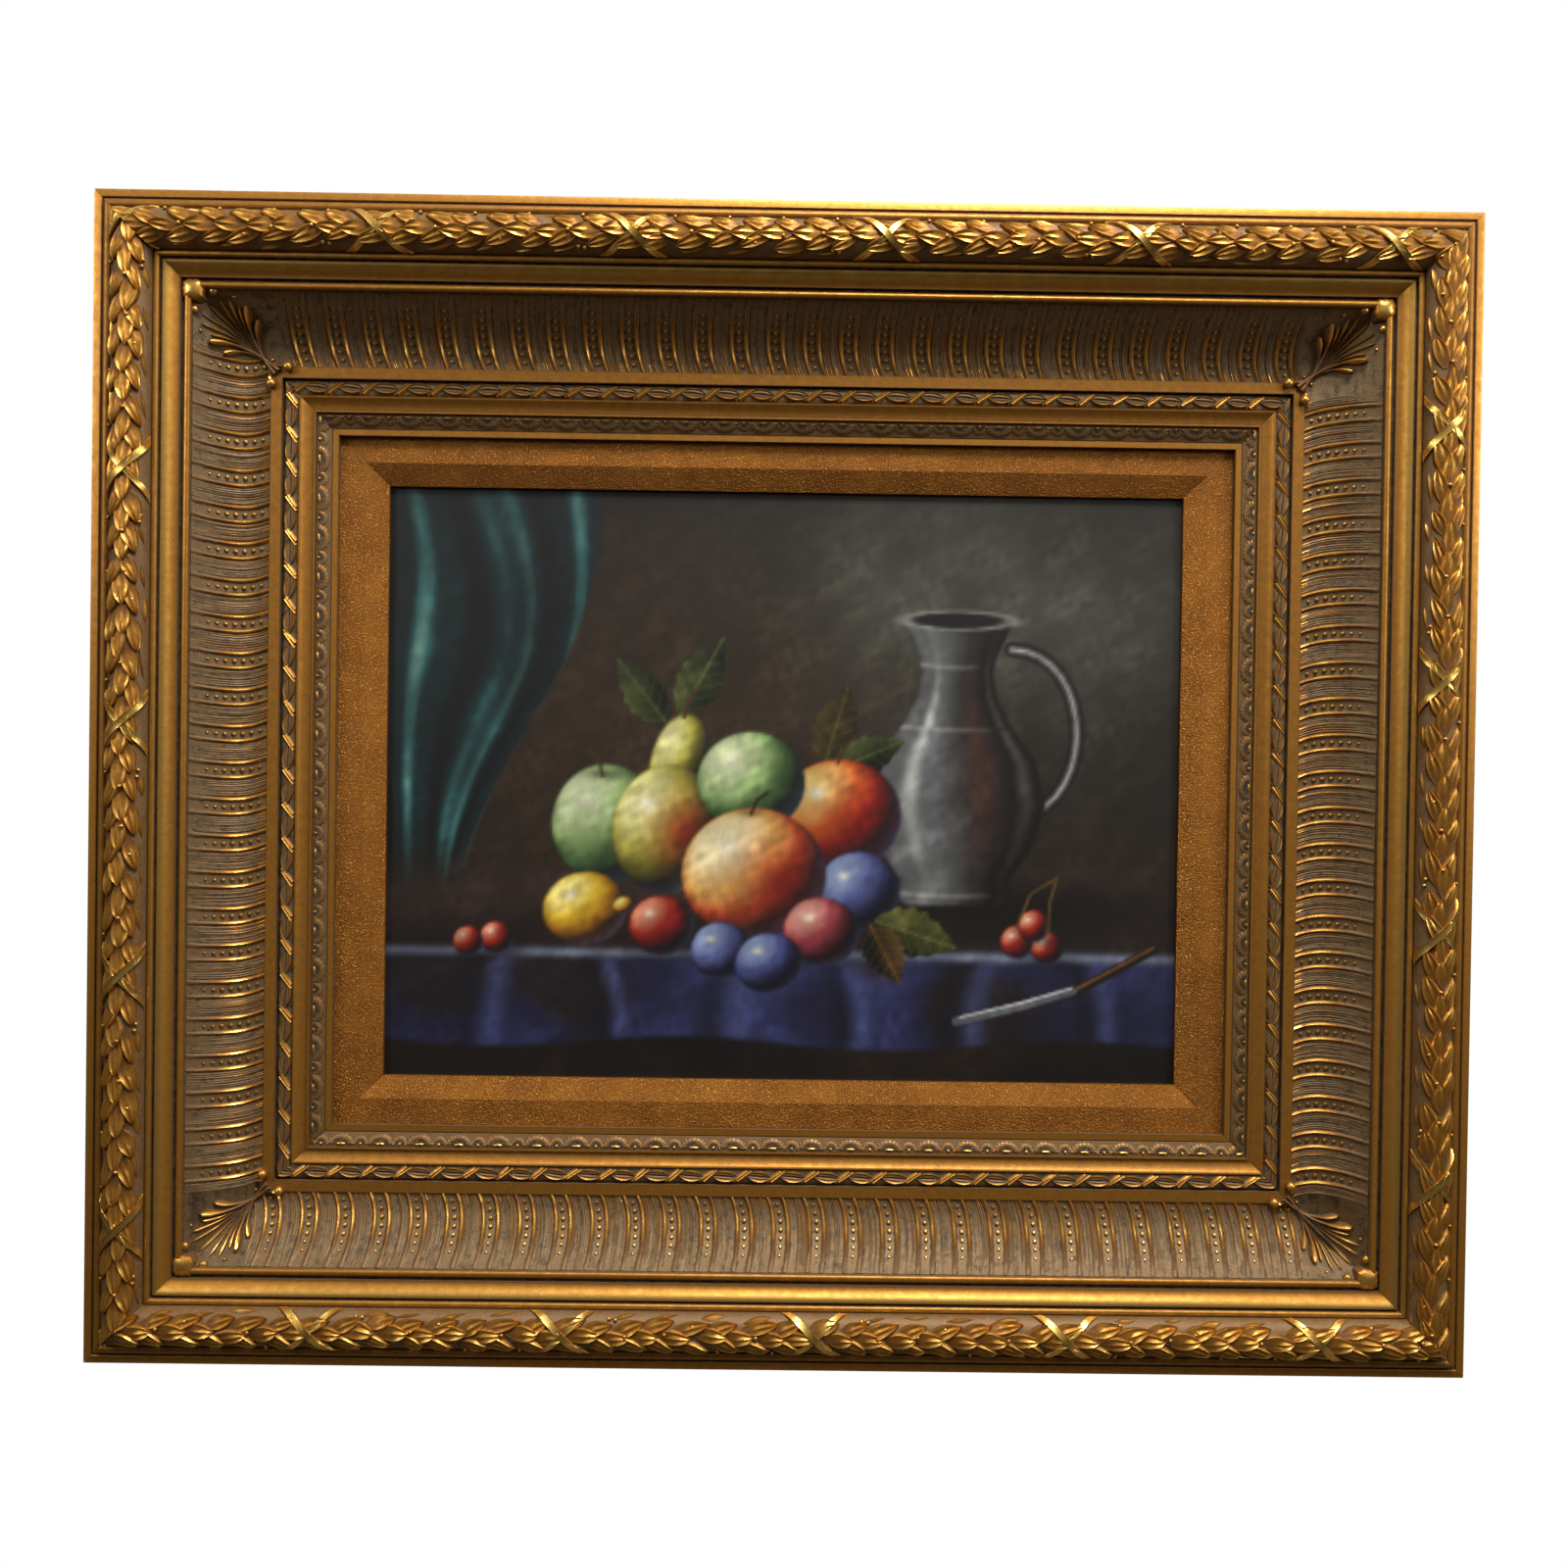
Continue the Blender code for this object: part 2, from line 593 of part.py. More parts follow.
def add_fan(bm, root):
    """The leaves of a spray as one fan: crests and valleys by turns, around its root."""
    crests = sorted({turn * sign for turn, _ in SPRAY_LEAVES for sign in (-1, 1)})
    lengths = dict(SPRAY_LEAVES)
    rays = [(turn, lengths[abs(turn)], SPRAY_CREST) for turn in crests]
    for first, second in zip(crests, crests[1:]):
        length = (lengths[abs(first)] + lengths[abs(second)]) / 2 * SPRAY_VALLEY_REACH
        rays.append(((first + second) / 2, length, SPRAY_VALLEY))
    last, before = crests[-1], crests[-2]
    for sign in (-1, 1):
        edge = sign * (last + (last - before) / 2)
        rays.append((edge, lengths[last] * SPRAY_VALLEY_REACH, SPRAY_VALLEY))
    rings = []
    for turn, length, body in sorted(rays):
        angle = math.pi / 4 + math.radians(turn) + SPRAY_TURN
        along = Vector((math.cos(angle), math.sin(angle)))
        ring = []
        for station, share in zip(SPRAY_STATIONS, body):
            place = root + along * (SPRAY_HUB_OPEN + station * (length - SPRAY_HUB_OPEN))
            ring.append(Vector((*place, surface_height(*place) + share * SPRAY_RAISE)))
        ring.append(Vector((ring[-1].x, ring[-1].y, LEG_DEPTH)))
        ring.append(Vector((ring[0].x, ring[0].y, LEG_DEPTH)))
        rings.append(ring)
    sweep(bm, rings)


def add_stem(bm, root, ball):
    """A stem with a crest along it, from the root of the fan to a ball."""
    run = ball - root
    along = run.normalized()
    across = Vector((-along.y, along.x)) * SPRAY_STEM_WIDTH / 2
    rings = []
    for share in SPRAY_STEM_STATIONS:
        place = root + run * share
        seat = surface_height(*place)
        left = Vector((*(place + across), seat - SPRAY_STEM_DEPTH))
        right = Vector((*(place - across), seat - SPRAY_STEM_DEPTH))
        rings.append([left, right, Vector((*place, seat + SPRAY_STEM_RAISE))])
    sweep(bm, rings)


def add_knob(bm, place, radius, height):
    bmesh.ops.create_icosphere(bm, subdivisions=1, radius=radius)
    spin = Matrix.Rotation(KNOB_SPIN, 4, "Z") @ Matrix.Rotation(KNOB_TIP, 4, "X")
    bmesh.ops.transform(bm, matrix=Matrix.Translation((*place, height)) @ spin, verts=bm.verts[:])


def spray_seat(bm):
    """The plain moulding around the mitre, grown by the gap, for a spray to sit on."""
    face = grown_face()
    closed = face + [(face[-1][0], 0), (face[0][0], 0)]
    far = RAIL_WIDTH - OUTER_END - SPRAY_SEAT_REACH
    across = [Vector((far, RAIL_WIDTH - inward, height)) for inward, height in closed]
    corner = [Vector((RAIL_WIDTH - inward, RAIL_WIDTH - inward, height)) for inward, height in closed]
    down = [Vector((RAIL_WIDTH - inward, far, height)) for inward, height in closed]
    sweep(bm, [across, corner, down])


def make_spray(corner, parts, tools, material, holder):
    """The cast spray over one mitre: a fan of leaves, two stems with balls, and a pad."""
    cove_corner = RAIL_WIDTH - COVE_END
    bead_corner = RAIL_WIDTH - COVE_START
    root = Vector((1, 1)) * (cove_corner + SPRAY_ROOT_SET)
    middle_of_fillet = (RAIL_WIDTH - OUTER_END + cove_corner) / 2
    balls = [Vector((middle_of_fillet - SPRAY_BALL_OUT, middle_of_fillet))]
    balls.append(Vector((middle_of_fillet, middle_of_fillet - SPRAY_BALL_OUT)))
    bm = bmesh.new()
    add_fan(bm, root)
    spray = new_object("corner_spray_" + corner, bm, parts, material)
    knobs = [(root, SPRAY_HUB_RADIUS, surface_height(*root) + SPRAY_HUB_LIFT)]
    knobs += [(ball, SPRAY_BALL_RADIUS, FILLET_TOP + SPRAY_BALL_LIFT) for ball in balls]
    pad = Vector((1, 1)) * (bead_corner - SPRAY_PAD_SET)
    knobs.append((pad, SPRAY_PAD_RADIUS, surface_height(*pad) + SPRAY_PAD_RAISE))
    for ball in balls:
        bm = bmesh.new()
        add_stem(bm, root, ball)
        combine(spray, tool_object("stem", bm, tools), "UNION")
    for knob in knobs:
        bm = bmesh.new()
        add_knob(bm, *knob)
        combine(spray, tool_object("knob", bm, tools), "UNION")
    bm = bmesh.new()
    spray_seat(bm)
    combine(spray, tool_object("seat", bm, tools), "DIFFERENCE")
    bm = bmesh.new()
    bm.from_mesh(spray.data)
    finish_faces(bm, spray)
    spray.parent = holder
    spray.rotation_euler = (math.pi / 2, math.radians(CORNERS[corner]), 0)
    side_x = 1 if "right" in corner else -1
    side_z = 1 if "top" in corner else -1
    spray.location = (side_x * SIGHT_WIDTH / 2, 0, side_z * SIGHT_HEIGHT / 2)
    return spray


def main():
    for item in list(bpy.data.objects):
        bpy.data.objects.remove(item, do_unlink=True)
    parts = bpy.data.collections.new("framed_oil_painting")
    tools = bpy.data.collections.new("cutters")
    bpy.context.scene.collection.children.link(parts)
    bpy.context.scene.collection.children.link(tools)
    holder = bpy.data.objects.new("frame_centre", None)
    holder.location = (0, 0, CENTRE_Z)
    parts.objects.link(holder)
    gilt = make_material("gilded_moulding", (0.36, 0.24, 0.10), 0.75, 0.42)
    bright = make_material("gilded_casting", (0.45, 0.31, 0.13), 0.80, 0.38)
    speckled = make_material("speckled_liner", (0.42, 0.33, 0.19), 0.35, 0.55)
    paint = make_material("painted_canvas", (0.20, 0.16, 0.12), 0.0, 0.45)
    pine = make_material("bare_pine", (0.62, 0.47, 0.30), 0.0, 0.70)
    for side in SIDES:
        make_outer_rail(side, parts, tools, gilt, holder)
        make_plain_rail("inner_rail", side, inner_profile(), parts, gilt, holder)
        make_plain_rail("liner", side, liner_profile(), parts, speckled, holder)
        make_plain_rail("stretcher", side, stretcher_profile(), parts, pine, holder)
    for corner in CORNERS:
        make_spray(corner, parts, tools, bright, holder)
    make_canvas(parts, paint, holder)
    bpy.context.view_layer.update()


main()
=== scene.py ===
# %% [markdown]
# # A framed oil painting: the looks
# The solid model already holds the sizes: two nested mouldings, a liner, a canvas and a stretcher.
# This lesson dresses it. A gilt frame is nearly all relief: leaves, ribbons, ribs and pearls pressed
# in plaster, covered with bronze leaf, then darkened with a thin brown wash and rubbed back, so that
# the high places shine and the hollows stay dull. We build that relief as mesh, note on each point
# how far it was rubbed, and let the materials read the note.

import math

import bmesh
import bpy
import numpy as np
from mathutils import Euler, Matrix, Vector


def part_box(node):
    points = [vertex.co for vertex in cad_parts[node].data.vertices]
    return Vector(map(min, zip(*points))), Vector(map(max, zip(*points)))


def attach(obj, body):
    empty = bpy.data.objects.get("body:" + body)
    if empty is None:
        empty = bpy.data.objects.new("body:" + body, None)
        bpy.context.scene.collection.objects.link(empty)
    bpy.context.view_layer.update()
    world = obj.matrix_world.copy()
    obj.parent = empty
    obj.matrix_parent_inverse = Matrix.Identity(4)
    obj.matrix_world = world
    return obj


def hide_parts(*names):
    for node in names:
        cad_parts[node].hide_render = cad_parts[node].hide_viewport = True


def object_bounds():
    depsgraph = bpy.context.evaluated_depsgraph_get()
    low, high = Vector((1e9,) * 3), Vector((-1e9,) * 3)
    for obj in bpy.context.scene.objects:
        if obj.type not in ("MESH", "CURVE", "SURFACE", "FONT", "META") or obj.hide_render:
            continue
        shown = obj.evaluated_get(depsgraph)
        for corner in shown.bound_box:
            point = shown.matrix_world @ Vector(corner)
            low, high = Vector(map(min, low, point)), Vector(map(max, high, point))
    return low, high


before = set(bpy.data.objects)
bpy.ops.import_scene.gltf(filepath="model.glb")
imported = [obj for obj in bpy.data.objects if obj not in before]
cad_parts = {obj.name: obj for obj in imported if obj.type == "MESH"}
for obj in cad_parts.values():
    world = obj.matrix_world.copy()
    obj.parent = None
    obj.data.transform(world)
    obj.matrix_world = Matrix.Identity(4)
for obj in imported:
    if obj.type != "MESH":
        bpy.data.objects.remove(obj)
cad_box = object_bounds()
MM = 0.001
print("solid model:", [[round(value, 4) for value in corner] for corner in cad_box])

# %% [markdown]
# ## Where things are
# Every rail of the frame is one straight stick, mitred at both ends. The easiest way to carve four
# rails is to carve a stick that lies on its back: X runs along it, Y runs inward from the edge of
# the picture, Z is the height above the wall. A matrix then stands it in its side of the frame.
# Distances across the stick are counted from its outer edge, so they read like a drawing of the
# moulding's section.

# %% Sizes read from the solid model
canvas_low, canvas_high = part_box("canvas")
LINER_COVER = 6.4 * MM
SIGHT_WIDTH = canvas_high.x - canvas_low.x - 2 * LINER_COVER
SIGHT_HEIGHT = canvas_high.z - canvas_low.z - 2 * LINER_COVER
CENTRE_Z = (canvas_high.z + canvas_low.z) / 2
RAIL_WIDTH = cad_box[1].x - SIGHT_WIDTH / 2
MITRE_GAP = 0.12 * MM
print("picture opening %.1f x %.1f mm" % (SIGHT_WIDTH / MM, SIGHT_HEIGHT / MM))
print("rail %.1f mm wide" % (RAIL_WIDTH / MM))

# %% The section of the outer moulding, from its outer edge inward
FILLET_TOP = 34.0 * MM
OUTER_UNDER = 30.5 * MM
EDGE_FLAT = 4.1 * MM
EDGE_TOP = 57.5 * MM
EDGE_BEAD = (5.4 * MM, 9.9 * MM)
EDGE_BEAD_BASE = 58.3 * MM
TORUS_MIDDLE = 19.25 * MM
TORUS_RADIUS = 9.8 * MM
TORUS_CENTRE = 57.2 * MM
TORUS_HALF_SWEEP = math.radians(72.6)
FOOT_BEAD = (28.6 * MM, 31.7 * MM)
FOOT_BEAD_BASE = 58.2 * MM
OGEE = (33.0 * MM, 40.2 * MM)
OGEE_HIGH = 58.8 * MM
OGEE_LOW = 55.5 * MM
COVE_BEAD = (41.5 * MM, 44.9 * MM)
COVE_BEAD_BASE = 53.8 * MM
GROOVE_DEPTH = 1.2 * MM
COVE_START = 44.9 * MM
COVE_WIDTH = 30.5 * MM
COVE_FOOT = 33.2 * MM
COVE_RISE = 18.8 * MM
COVE_END = COVE_START + COVE_WIDTH
OUTER_END = 80.9 * MM
REBATE = 76.7 * MM
LEG_END = 34.0 * MM
LEG_START = 4.0 * MM
LEG_DEPTH = 14.0 * MM

# %% The section of the inner moulding
TWIST = (81.5 * MM, 88.8 * MM)
TWIST_TOP = 33.4 * MM
ROUND = (88.8 * MM, 97.0 * MM)
ROUND_BASE = 30.2 * MM
ROUND_RISE = 3.3 * MM
TONGUE = (97.4 * MM, 103.6 * MM)
TONGUE_HIGH = 31.0 * MM
TONGUE_LOW = 28.8 * MM
INNER_FILLET = (104.0 * MM, 107.0 * MM)
INNER_TOP = 28.5 * MM
INNER_UNDER = 25.3 * MM
INNER_GROOVE = 27.9 * MM
LUG = (77.0 * MM, 30.2 * MM)
INNER_BACK = 12.0 * MM
INNER_WALL = 101.5 * MM

# %% Where the ornament falls on each rail, measured from the rail's middle in mm
# turn in degrees, then the offsets of a ribbon cross, a pair of ribs, a twist and a scallop
SIDES = {
    "bottom": (0, 17.8, 1.6, -9.3, -3.1),
    "left": (90, -26.0, -4.4, 5.8, -3.1),
    "top": (180, 74.0, 7.1, -3.3, -6.9),
    "right": (270, 54.6, 8.0, 8.9, 2.7),
}
CORNERS = {"top_right": 0, "bottom_right": 90, "bottom_left": 180, "top_left": 270}


def half_lengths(side):
    """Half the picture opening along a rail, and across it."""
    if side in ("top", "bottom"):
        return SIGHT_WIDTH / 2, SIGHT_HEIGHT / 2
    return SIGHT_HEIGHT / 2, SIGHT_WIDTH / 2


def stand_rail(side):
    """The matrix that stands a stick in its side of the frame."""
    turn = math.radians(SIDES[side][0])
    across = half_lengths(side)[1]
    place = Vector((-across * math.sin(turn), 0, CENTRE_Z - across * math.cos(turn)))
    return Matrix.Translation(place) @ Euler((math.pi / 2, turn, 0)).to_matrix().to_4x4()


# %% [markdown]
# ## Camera, light and stage
# The photograph was taken straight on, about 74 cm away, with a fairly wide lens: the outer edge of
# the frame stands 7 cm nearer to the camera than the picture, so we look slightly into each cove.
# The main light is a soft source above and a little to the right. It skims the top cove, which stays
# dark, and falls full on the bottom one. Two small lamps at the sides put sparks on the upright
# rails. The backdrop is plain white.

# %% Camera
eye = bpy.data.cameras.new("photographer")
eye.lens = 33.17
eye.sensor_width = 36
camera = bpy.data.objects.new("photographer", eye)
camera.location = (-0.00527, -0.73754, -0.2483)
camera.rotation_euler = (1.5609, -0.01428, -0.00754)
bpy.context.scene.collection.objects.link(camera)
bpy.context.scene.camera = camera

# %% Lights
LIGHTS = {
    "key": {"at": (0.30, -0.78, 1.15), "size": 0.60, "watts": 33, "tint": (1.0, 0.96, 0.90)},
    "left": {"at": (-1.15, -0.85, 0.30), "size": 0.40, "watts": 4.8, "tint": (1.0, 0.97, 0.92)},
    "right": {"at": (1.25, -0.75, 0.20), "size": 0.40, "watts": 5.6, "tint": (1.0, 0.97, 0.92)},
    "back": {"at": (0.6, 1.3, 0.6), "size": 1.2, "watts": 14, "tint": (1.0, 0.98, 0.95)},
}
middle = Vector((0, 0, CENTRE_Z))
for name, facts in LIGHTS.items():
    lamp = bpy.data.lights.new(name, "AREA")
    lamp.shape = "SQUARE"
    lamp.size = facts["size"]
    lamp.energy = facts["watts"]
    lamp.color = facts["tint"]
    holder = bpy.data.objects.new(name, lamp)
    holder.location = facts["at"]
    holder.rotation_euler = (middle - holder.location).to_track_quat("-Z", "Y").to_euler()
    bpy.context.scene.collection.objects.link(holder)

# %% A white surround that the camera sees, and a dimmer room that the gilding reflects
world = bpy.data.worlds.new("studio")
bpy.context.scene.world = world
world.use_nodes = True
sky = world.node_tree
sky.nodes.clear()
direction = sky.nodes.new("ShaderNodeTexCoord")
split = sky.nodes.new("ShaderNodeSeparateXYZ")
room = sky.nodes.new("ShaderNodeValToRGB")
room.color_ramp.elements[0].position = 0.46
room.color_ramp.elements[0].color = (0.016, 0.013, 0.010, 1)
room.color_ramp.elements[1].position = 0.95
room.color_ramp.elements[1].color = (0.50, 0.48, 0.45, 1)
half = sky.nodes.new("ShaderNodeMapRange")
half.inputs["From Min"].default_value = -1
seen = sky.nodes.new("ShaderNodeLightPath")
dim = sky.nodes.new("ShaderNodeBackground")
white = sky.nodes.new("ShaderNodeBackground")
white.inputs["Color"].default_value = (1, 1, 1, 1)
choose = sky.nodes.new("ShaderNodeMixShader")
out = sky.nodes.new("ShaderNodeOutputWorld")
sky.links.new(direction.outputs["Generated"], split.inputs[0])
sky.links.new(split.outputs["Z"], half.inputs["Value"])
sky.links.new(half.outputs["Result"], room.inputs["Fac"])
sky.links.new(room.outputs["Color"], dim.inputs["Color"])
sky.links.new(seen.outputs["Is Camera Ray"], choose.inputs["Fac"])
sky.links.new(dim.outputs[0], choose.inputs[1])
sky.links.new(white.outputs[0], choose.inputs[2])
sky.links.new(choose.outputs[0], out.inputs["Surface"])
bpy.context.scene.view_settings.view_transform = "Standard"

# %% A pale floor, well below the hanging frame
FLOOR_Z = -1.35
bm = bmesh.new()
bmesh.ops.create_circle(bm, cap_ends=True, segments=64, radius=1.1)
bmesh.ops.translate(bm, verts=bm.verts, vec=(0, 0, FLOOR_Z))
floor_mesh = bpy.data.meshes.new("floor")
bm.to_mesh(floor_mesh)
bm.free()
floor = bpy.data.objects.new("floor", floor_mesh)
bpy.context.scene.collection.objects.link(floor)

# %% [markdown]
# ## Materials
# A material here is a small tree of nodes. One helper adds a node and wires or sets its sockets, so
# each finish below reads like a recipe. Patterns are fed with Object coordinates, in metres, or with
# the attribute "stick", the place on the straight stick before it was stood up, so that brush marks
# run along or across every rail in the same way.


# %% Helpers for node trees
def add_node(tree, kind, sockets=None, **settings):
    """Add a node, set its properties, and set or link its sockets by name."""
    made = tree.nodes.new(kind)
    for name, value in settings.items():
        setattr(made, name, value)
    for name, value in (sockets or {}).items():
        if isinstance(value, bpy.types.NodeSocket):
            tree.links.new(value, made.inputs[name])
        else:
            made.inputs[name].default_value = value
    return made


def new_material(name):
    material = bpy.data.materials.new(name)
    material.use_nodes = True
    tree = material.node_tree
    return material, tree, tree.nodes["Principled BSDF"]


def noise(tree, vector, scale, detail=3.0, roughness=0.55):
    """A cloudy pattern between 0 and 1."""
    sockets = {"Vector": vector, "Scale": scale, "Detail": detail, "Roughness": roughness}
    return add_node(tree, "ShaderNodeTexNoise", sockets).outputs["Fac"]


def stretched(tree, vector, scale):
    """The same place with each direction scaled, for patterns that run one way."""
    return add_node(tree, "ShaderNodeMapping", {"Vector": vector, "Scale": scale}).outputs["Vector"]


def maths(tree, operation, first, second, clamp=False):
    made = add_node(tree, "ShaderNodeMath", operation=operation, use_clamp=clamp)
    for number, value in enumerate((first, second)):
        if isinstance(value, bpy.types.NodeSocket):
            tree.links.new(value, made.inputs[number])
        else:
            made.inputs[number].default_value = value
    return made.outputs["Value"]


def ramp(tree, factor, stops):
    """A colour ramp from stops of (place, colour)."""
    made = add_node(tree, "ShaderNodeValToRGB", {"Fac": factor})
    elements = made.color_ramp.elements
    while len(elements) < len(stops):
        elements.new(0.5)
    for element, (place, colour) in zip(elements, stops):
        element.position = place
        element.color = (*colour, 1)
    return made.outputs["Color"]


def mix(tree, factor, first, second, blend="MIX"):
    sockets = {"Fac": factor, "Color1": first, "Color2": second}
    return add_node(tree, "ShaderNodeMixRGB", sockets, blend_type=blend).outputs["Color"]


def span(tree, value, low, high):
    """Stretch a value from 0..1 to low..high."""
    return add_node(tree, "ShaderNodeMapRange", {"Value": value, "To Min": low, "To Max": high}).outputs["Result"]


def paint_tone(red, green, blue):
    """A colour named as on a screen, 0 to 255, turned into the light that the shader uses."""
    values = [channel / 255 for channel in (red, green, blue)]
    return tuple(v / 12.92 if v <= 0.04045 else ((v + 0.055) / 1.055) ** 2.4 for v in values)


# %% The floor's matt finish: pale to the camera, but it throws little light up into the top cove
matt, matt_tree, matt_shader = new_material("pale_floor")
to_the_eye = add_node(matt_tree, "ShaderNodeLightPath").outputs["Is Camera Ray"]
floor_tone = mix(matt_tree, to_the_eye, (0.14, 0.12, 0.10, 1), (0.80, 0.79, 0.77, 1))
matt_tree.links.new(floor_tone, matt_shader.inputs["Base Color"])
matt_shader.inputs["Roughness"].default_value = 0.8
floor_mesh.materials.append(matt)

# %% [markdown]
# ### Antique gilding
# Real bronze leaf is a metal, and the wash on it is a matt grey-brown glaze. One note on every point,
# "gilding", says how far the wash was rubbed away: 0 in grooves, laid near black as old grime and painted
# shade, about 0.15 where the wash lies thick, 1 on the crests. Noise breaks the borders between them, as a rag does.


# %% The gilding recipe
# Near black for the deepest grooves and beds: old grime and painted shade in the recesses.
GROOVE_GRIME_AND_SHADE = paint_tone(52, 40, 27)


def gilding(name, wash, shade, gold, polish, grain):
    """Wash, shaded gold and bright gold by the gilding note, with speckle and fine brush ticks."""
    material, tree, shader = new_material(name)
    note = add_node(tree, "ShaderNodeAttribute", attribute_name="gilding").outputs["Fac"]
    stick = add_node(tree, "ShaderNodeAttribute", attribute_name="stick").outputs["Vector"]
    cloud = noise(tree, stick, 260.0)
    speck = noise(tree, stick, 2300.0, 2.0, 0.7)
    ticks = noise(tree, stretched(tree, stick, (0.55, 1.0, 1.0)), 1900.0, 2.0)
    rub = maths(tree, "ADD", note, maths(tree, "MULTIPLY", maths(tree, "SUBTRACT", cloud, 0.5), 0.34))
    rub = maths(tree, "ADD", rub, maths(tree, "MULTIPLY", maths(tree, "SUBTRACT", speck, 0.5), 0.42), clamp=True)
    colour = ramp(tree, rub, ((0.0, GROOVE_GRIME_AND_SHADE), (0.13, wash), (0.34, shade), (0.66, gold), (1.0, polish)))
    fleck = maths(tree, "MULTIPLY", maths(tree, "SUBTRACT", ticks, 0.60, clamp=True), 1.8, clamp=True)
    colour = mix(tree, fleck, colour, (*polish, 1))
    tree.links.new(colour, shader.inputs["Base Color"])
    tree.links.new(span(tree, rub, 0.25, 0.95), shader.inputs["Metallic"])
    tree.links.new(span(tree, rub, 0.62, 0.27), shader.inputs["Roughness"])
    height = maths(tree, "ADD", maths(tree, "MULTIPLY", speck, 0.6), maths(tree, "MULTIPLY", ticks, 0.4))
    bump = add_node(tree, "ShaderNodeBump", {"Height": height, "Strength": grain, "Distance": 0.0003})
    tree.links.new(bump.outputs["Normal"], shader.inputs["Normal"])
    return material


WASH = paint_tone(120, 97, 66)
rail_gilt = gilding(
    "antique_rail_gilding", WASH, paint_tone(114, 72, 27), paint_tone(183, 126, 46),
    paint_tone(244, 200, 108), 0.35
)
casting_gilt = gilding(
    "antique_casting_gilding", WASH, paint_tone(126, 76, 28), paint_tone(192, 132, 50),
    paint_tone(248, 204, 114), 0.25
)
print("gilding made:", rail_gilt.name, casting_gilt.name)

# %% [markdown]
# ### Speckled liner
# The liner is painted with bronze powder over a sanded ground: warm, dull, and full of tiny bright
# grains. The grains are a fine noise cut high, which also lifts the surface a little.


# %% Liner, pine and raw linen
def speckled_gold():
    material, tree, shader = new_material("speckled_liner_gold")
    place = add_node(tree, "ShaderNodeTexCoord").outputs["Object"]
    cloud = noise(tree, place, 55.0)
    grain = noise(tree, place, 1250.0, 3.0, 0.65)
    spark = maths(tree, "MULTIPLY", maths(tree, "SUBTRACT", grain, 0.56, clamp=True), 5.0, clamp=True)
    ground = ramp(tree, cloud, ((0.3, paint_tone(128, 76, 20)), (0.7, paint_tone(150, 94, 27))))
    colour = mix(tree, spark, ground, (*paint_tone(238, 182, 88), 1))
    tree.links.new(colour, shader.inputs["Base Color"])
    shader.inputs["Metallic"].default_value = 0.7
    tree.links.new(span(tree, grain, 0.50, 0.28), shader.inputs["Roughness"])
    bump = add_node(tree, "ShaderNodeBump", {"Height": grain, "Strength": 1.0, "Distance": 0.0009})
    tree.links.new(bump.outputs["Normal"], shader.inputs["Normal"])
    return material


def bare_wood(name, light, dark, upright=False, on_stick=False):
    """Straight-grained softwood: rings stretched along the piece, with pores."""
    material, tree, shader = new_material(name)
    place = add_node(tree, "ShaderNodeTexCoord").outputs["Object"]
    if on_stick:
        place = add_node(tree, "ShaderNodeAttribute", attribute_name="stick").outputs["Vector"]
    order = (2, 1, 0) if upright else (0, 1, 2)
    fine, finer = (1.5, 45.0, 45.0), (12.0, 300.0, 300.0)
    drift = noise(tree, place, 9.0)
    rings = noise(tree, stretched(tree, place, tuple(fine[axis] for axis in order)), 6.0, 4.0)
    pores = noise(tree, stretched(tree, place, tuple(finer[axis] for axis in order)), 4.0, 2.0)
    grain = maths(tree, "ADD", maths(tree, "MULTIPLY", rings, 0.7), maths(tree, "MULTIPLY", drift, 0.3))
    colour = ramp(tree, grain, ((0.35, dark), (0.62, light)))
    colour = mix(tree, maths(tree, "MULTIPLY", pores, 0.25), colour, (*dark, 1))
    tree.links.new(colour, shader.inputs["Base Color"])
    shader.inputs["Roughness"].default_value = 0.72
    bump = add_node(tree, "ShaderNodeBump", {"Height": pores, "Strength": 0.25, "Distance": 0.0004})
    tree.links.new(bump.outputs["Normal"], shader.inputs["Normal"])
    return material


def raw_linen():
    """Unprimed canvas seen from behind: two crossed sets of threads."""
    material, tree, shader = new_material("raw_linen")
    place = add_node(tree, "ShaderNodeTexCoord").outputs["Object"]
    threads = []
    for axis in ("X", "Z"):
        wave = {"Vector": place, "Scale": 190.0, "Distortion": 0.6, "Detail": 1.0}
        threads.append(add_node(tree, "ShaderNodeTexWave", wave, bands_direction=axis).outputs["Fac"])
    weave = maths(tree, "MAXIMUM", threads[0], threads[1])
    slub = noise(tree, place, 140.0)
    colour = ramp(tree, slub, ((0.3, paint_tone(168, 148, 116)), (0.7, paint_tone(201, 184, 152))))
    colour = mix(tree, maths(tree, "MULTIPLY", weave, 0.35), (*paint_tone(120, 101, 74), 1), colour)
    tree.links.new(colour, shader.inputs["Base Color"])
    shader.inputs["Roughness"].default_value = 0.9
    bump = add_node(tree, "ShaderNodeBump", {"Height": weave, "Strength": 0.5, "Distance": 0.0004})
    tree.links.new(bump.outputs["Normal"], shader.inputs["Normal"])
    return material


liner_gold = speckled_gold()
PINE = (paint_tone(206, 172, 124), paint_tone(160, 118, 72))
stretcher_pine = {
    "top": bare_wood("stretcher_pine", *PINE),
    "left": bare_wood("stretcher_pine_upright", *PINE, upright=True),
}
stretcher_pine["bottom"], stretcher_pine["right"] = stretcher_pine["top"], stretcher_pine["left"]
rail_back_wood = bare_wood("rail_back_wood", paint_tone(150, 116, 78), paint_tone(104, 74, 46), on_stick=True)
linen = raw_linen()

# %% [markdown]
# ## Tools of the carver
# A moulding mill does two things: it runs plain bands along the stick, and it presses the same small
# forms again and again. The plain bands are one outline, extruded. The small forms are stamps: we
# make each once with bmesh operators, keep its points as numbers from 0 to 1, and press it wherever
# it belongs, bent to the surface that carries it. Each stays a closed form sunk into the stick.


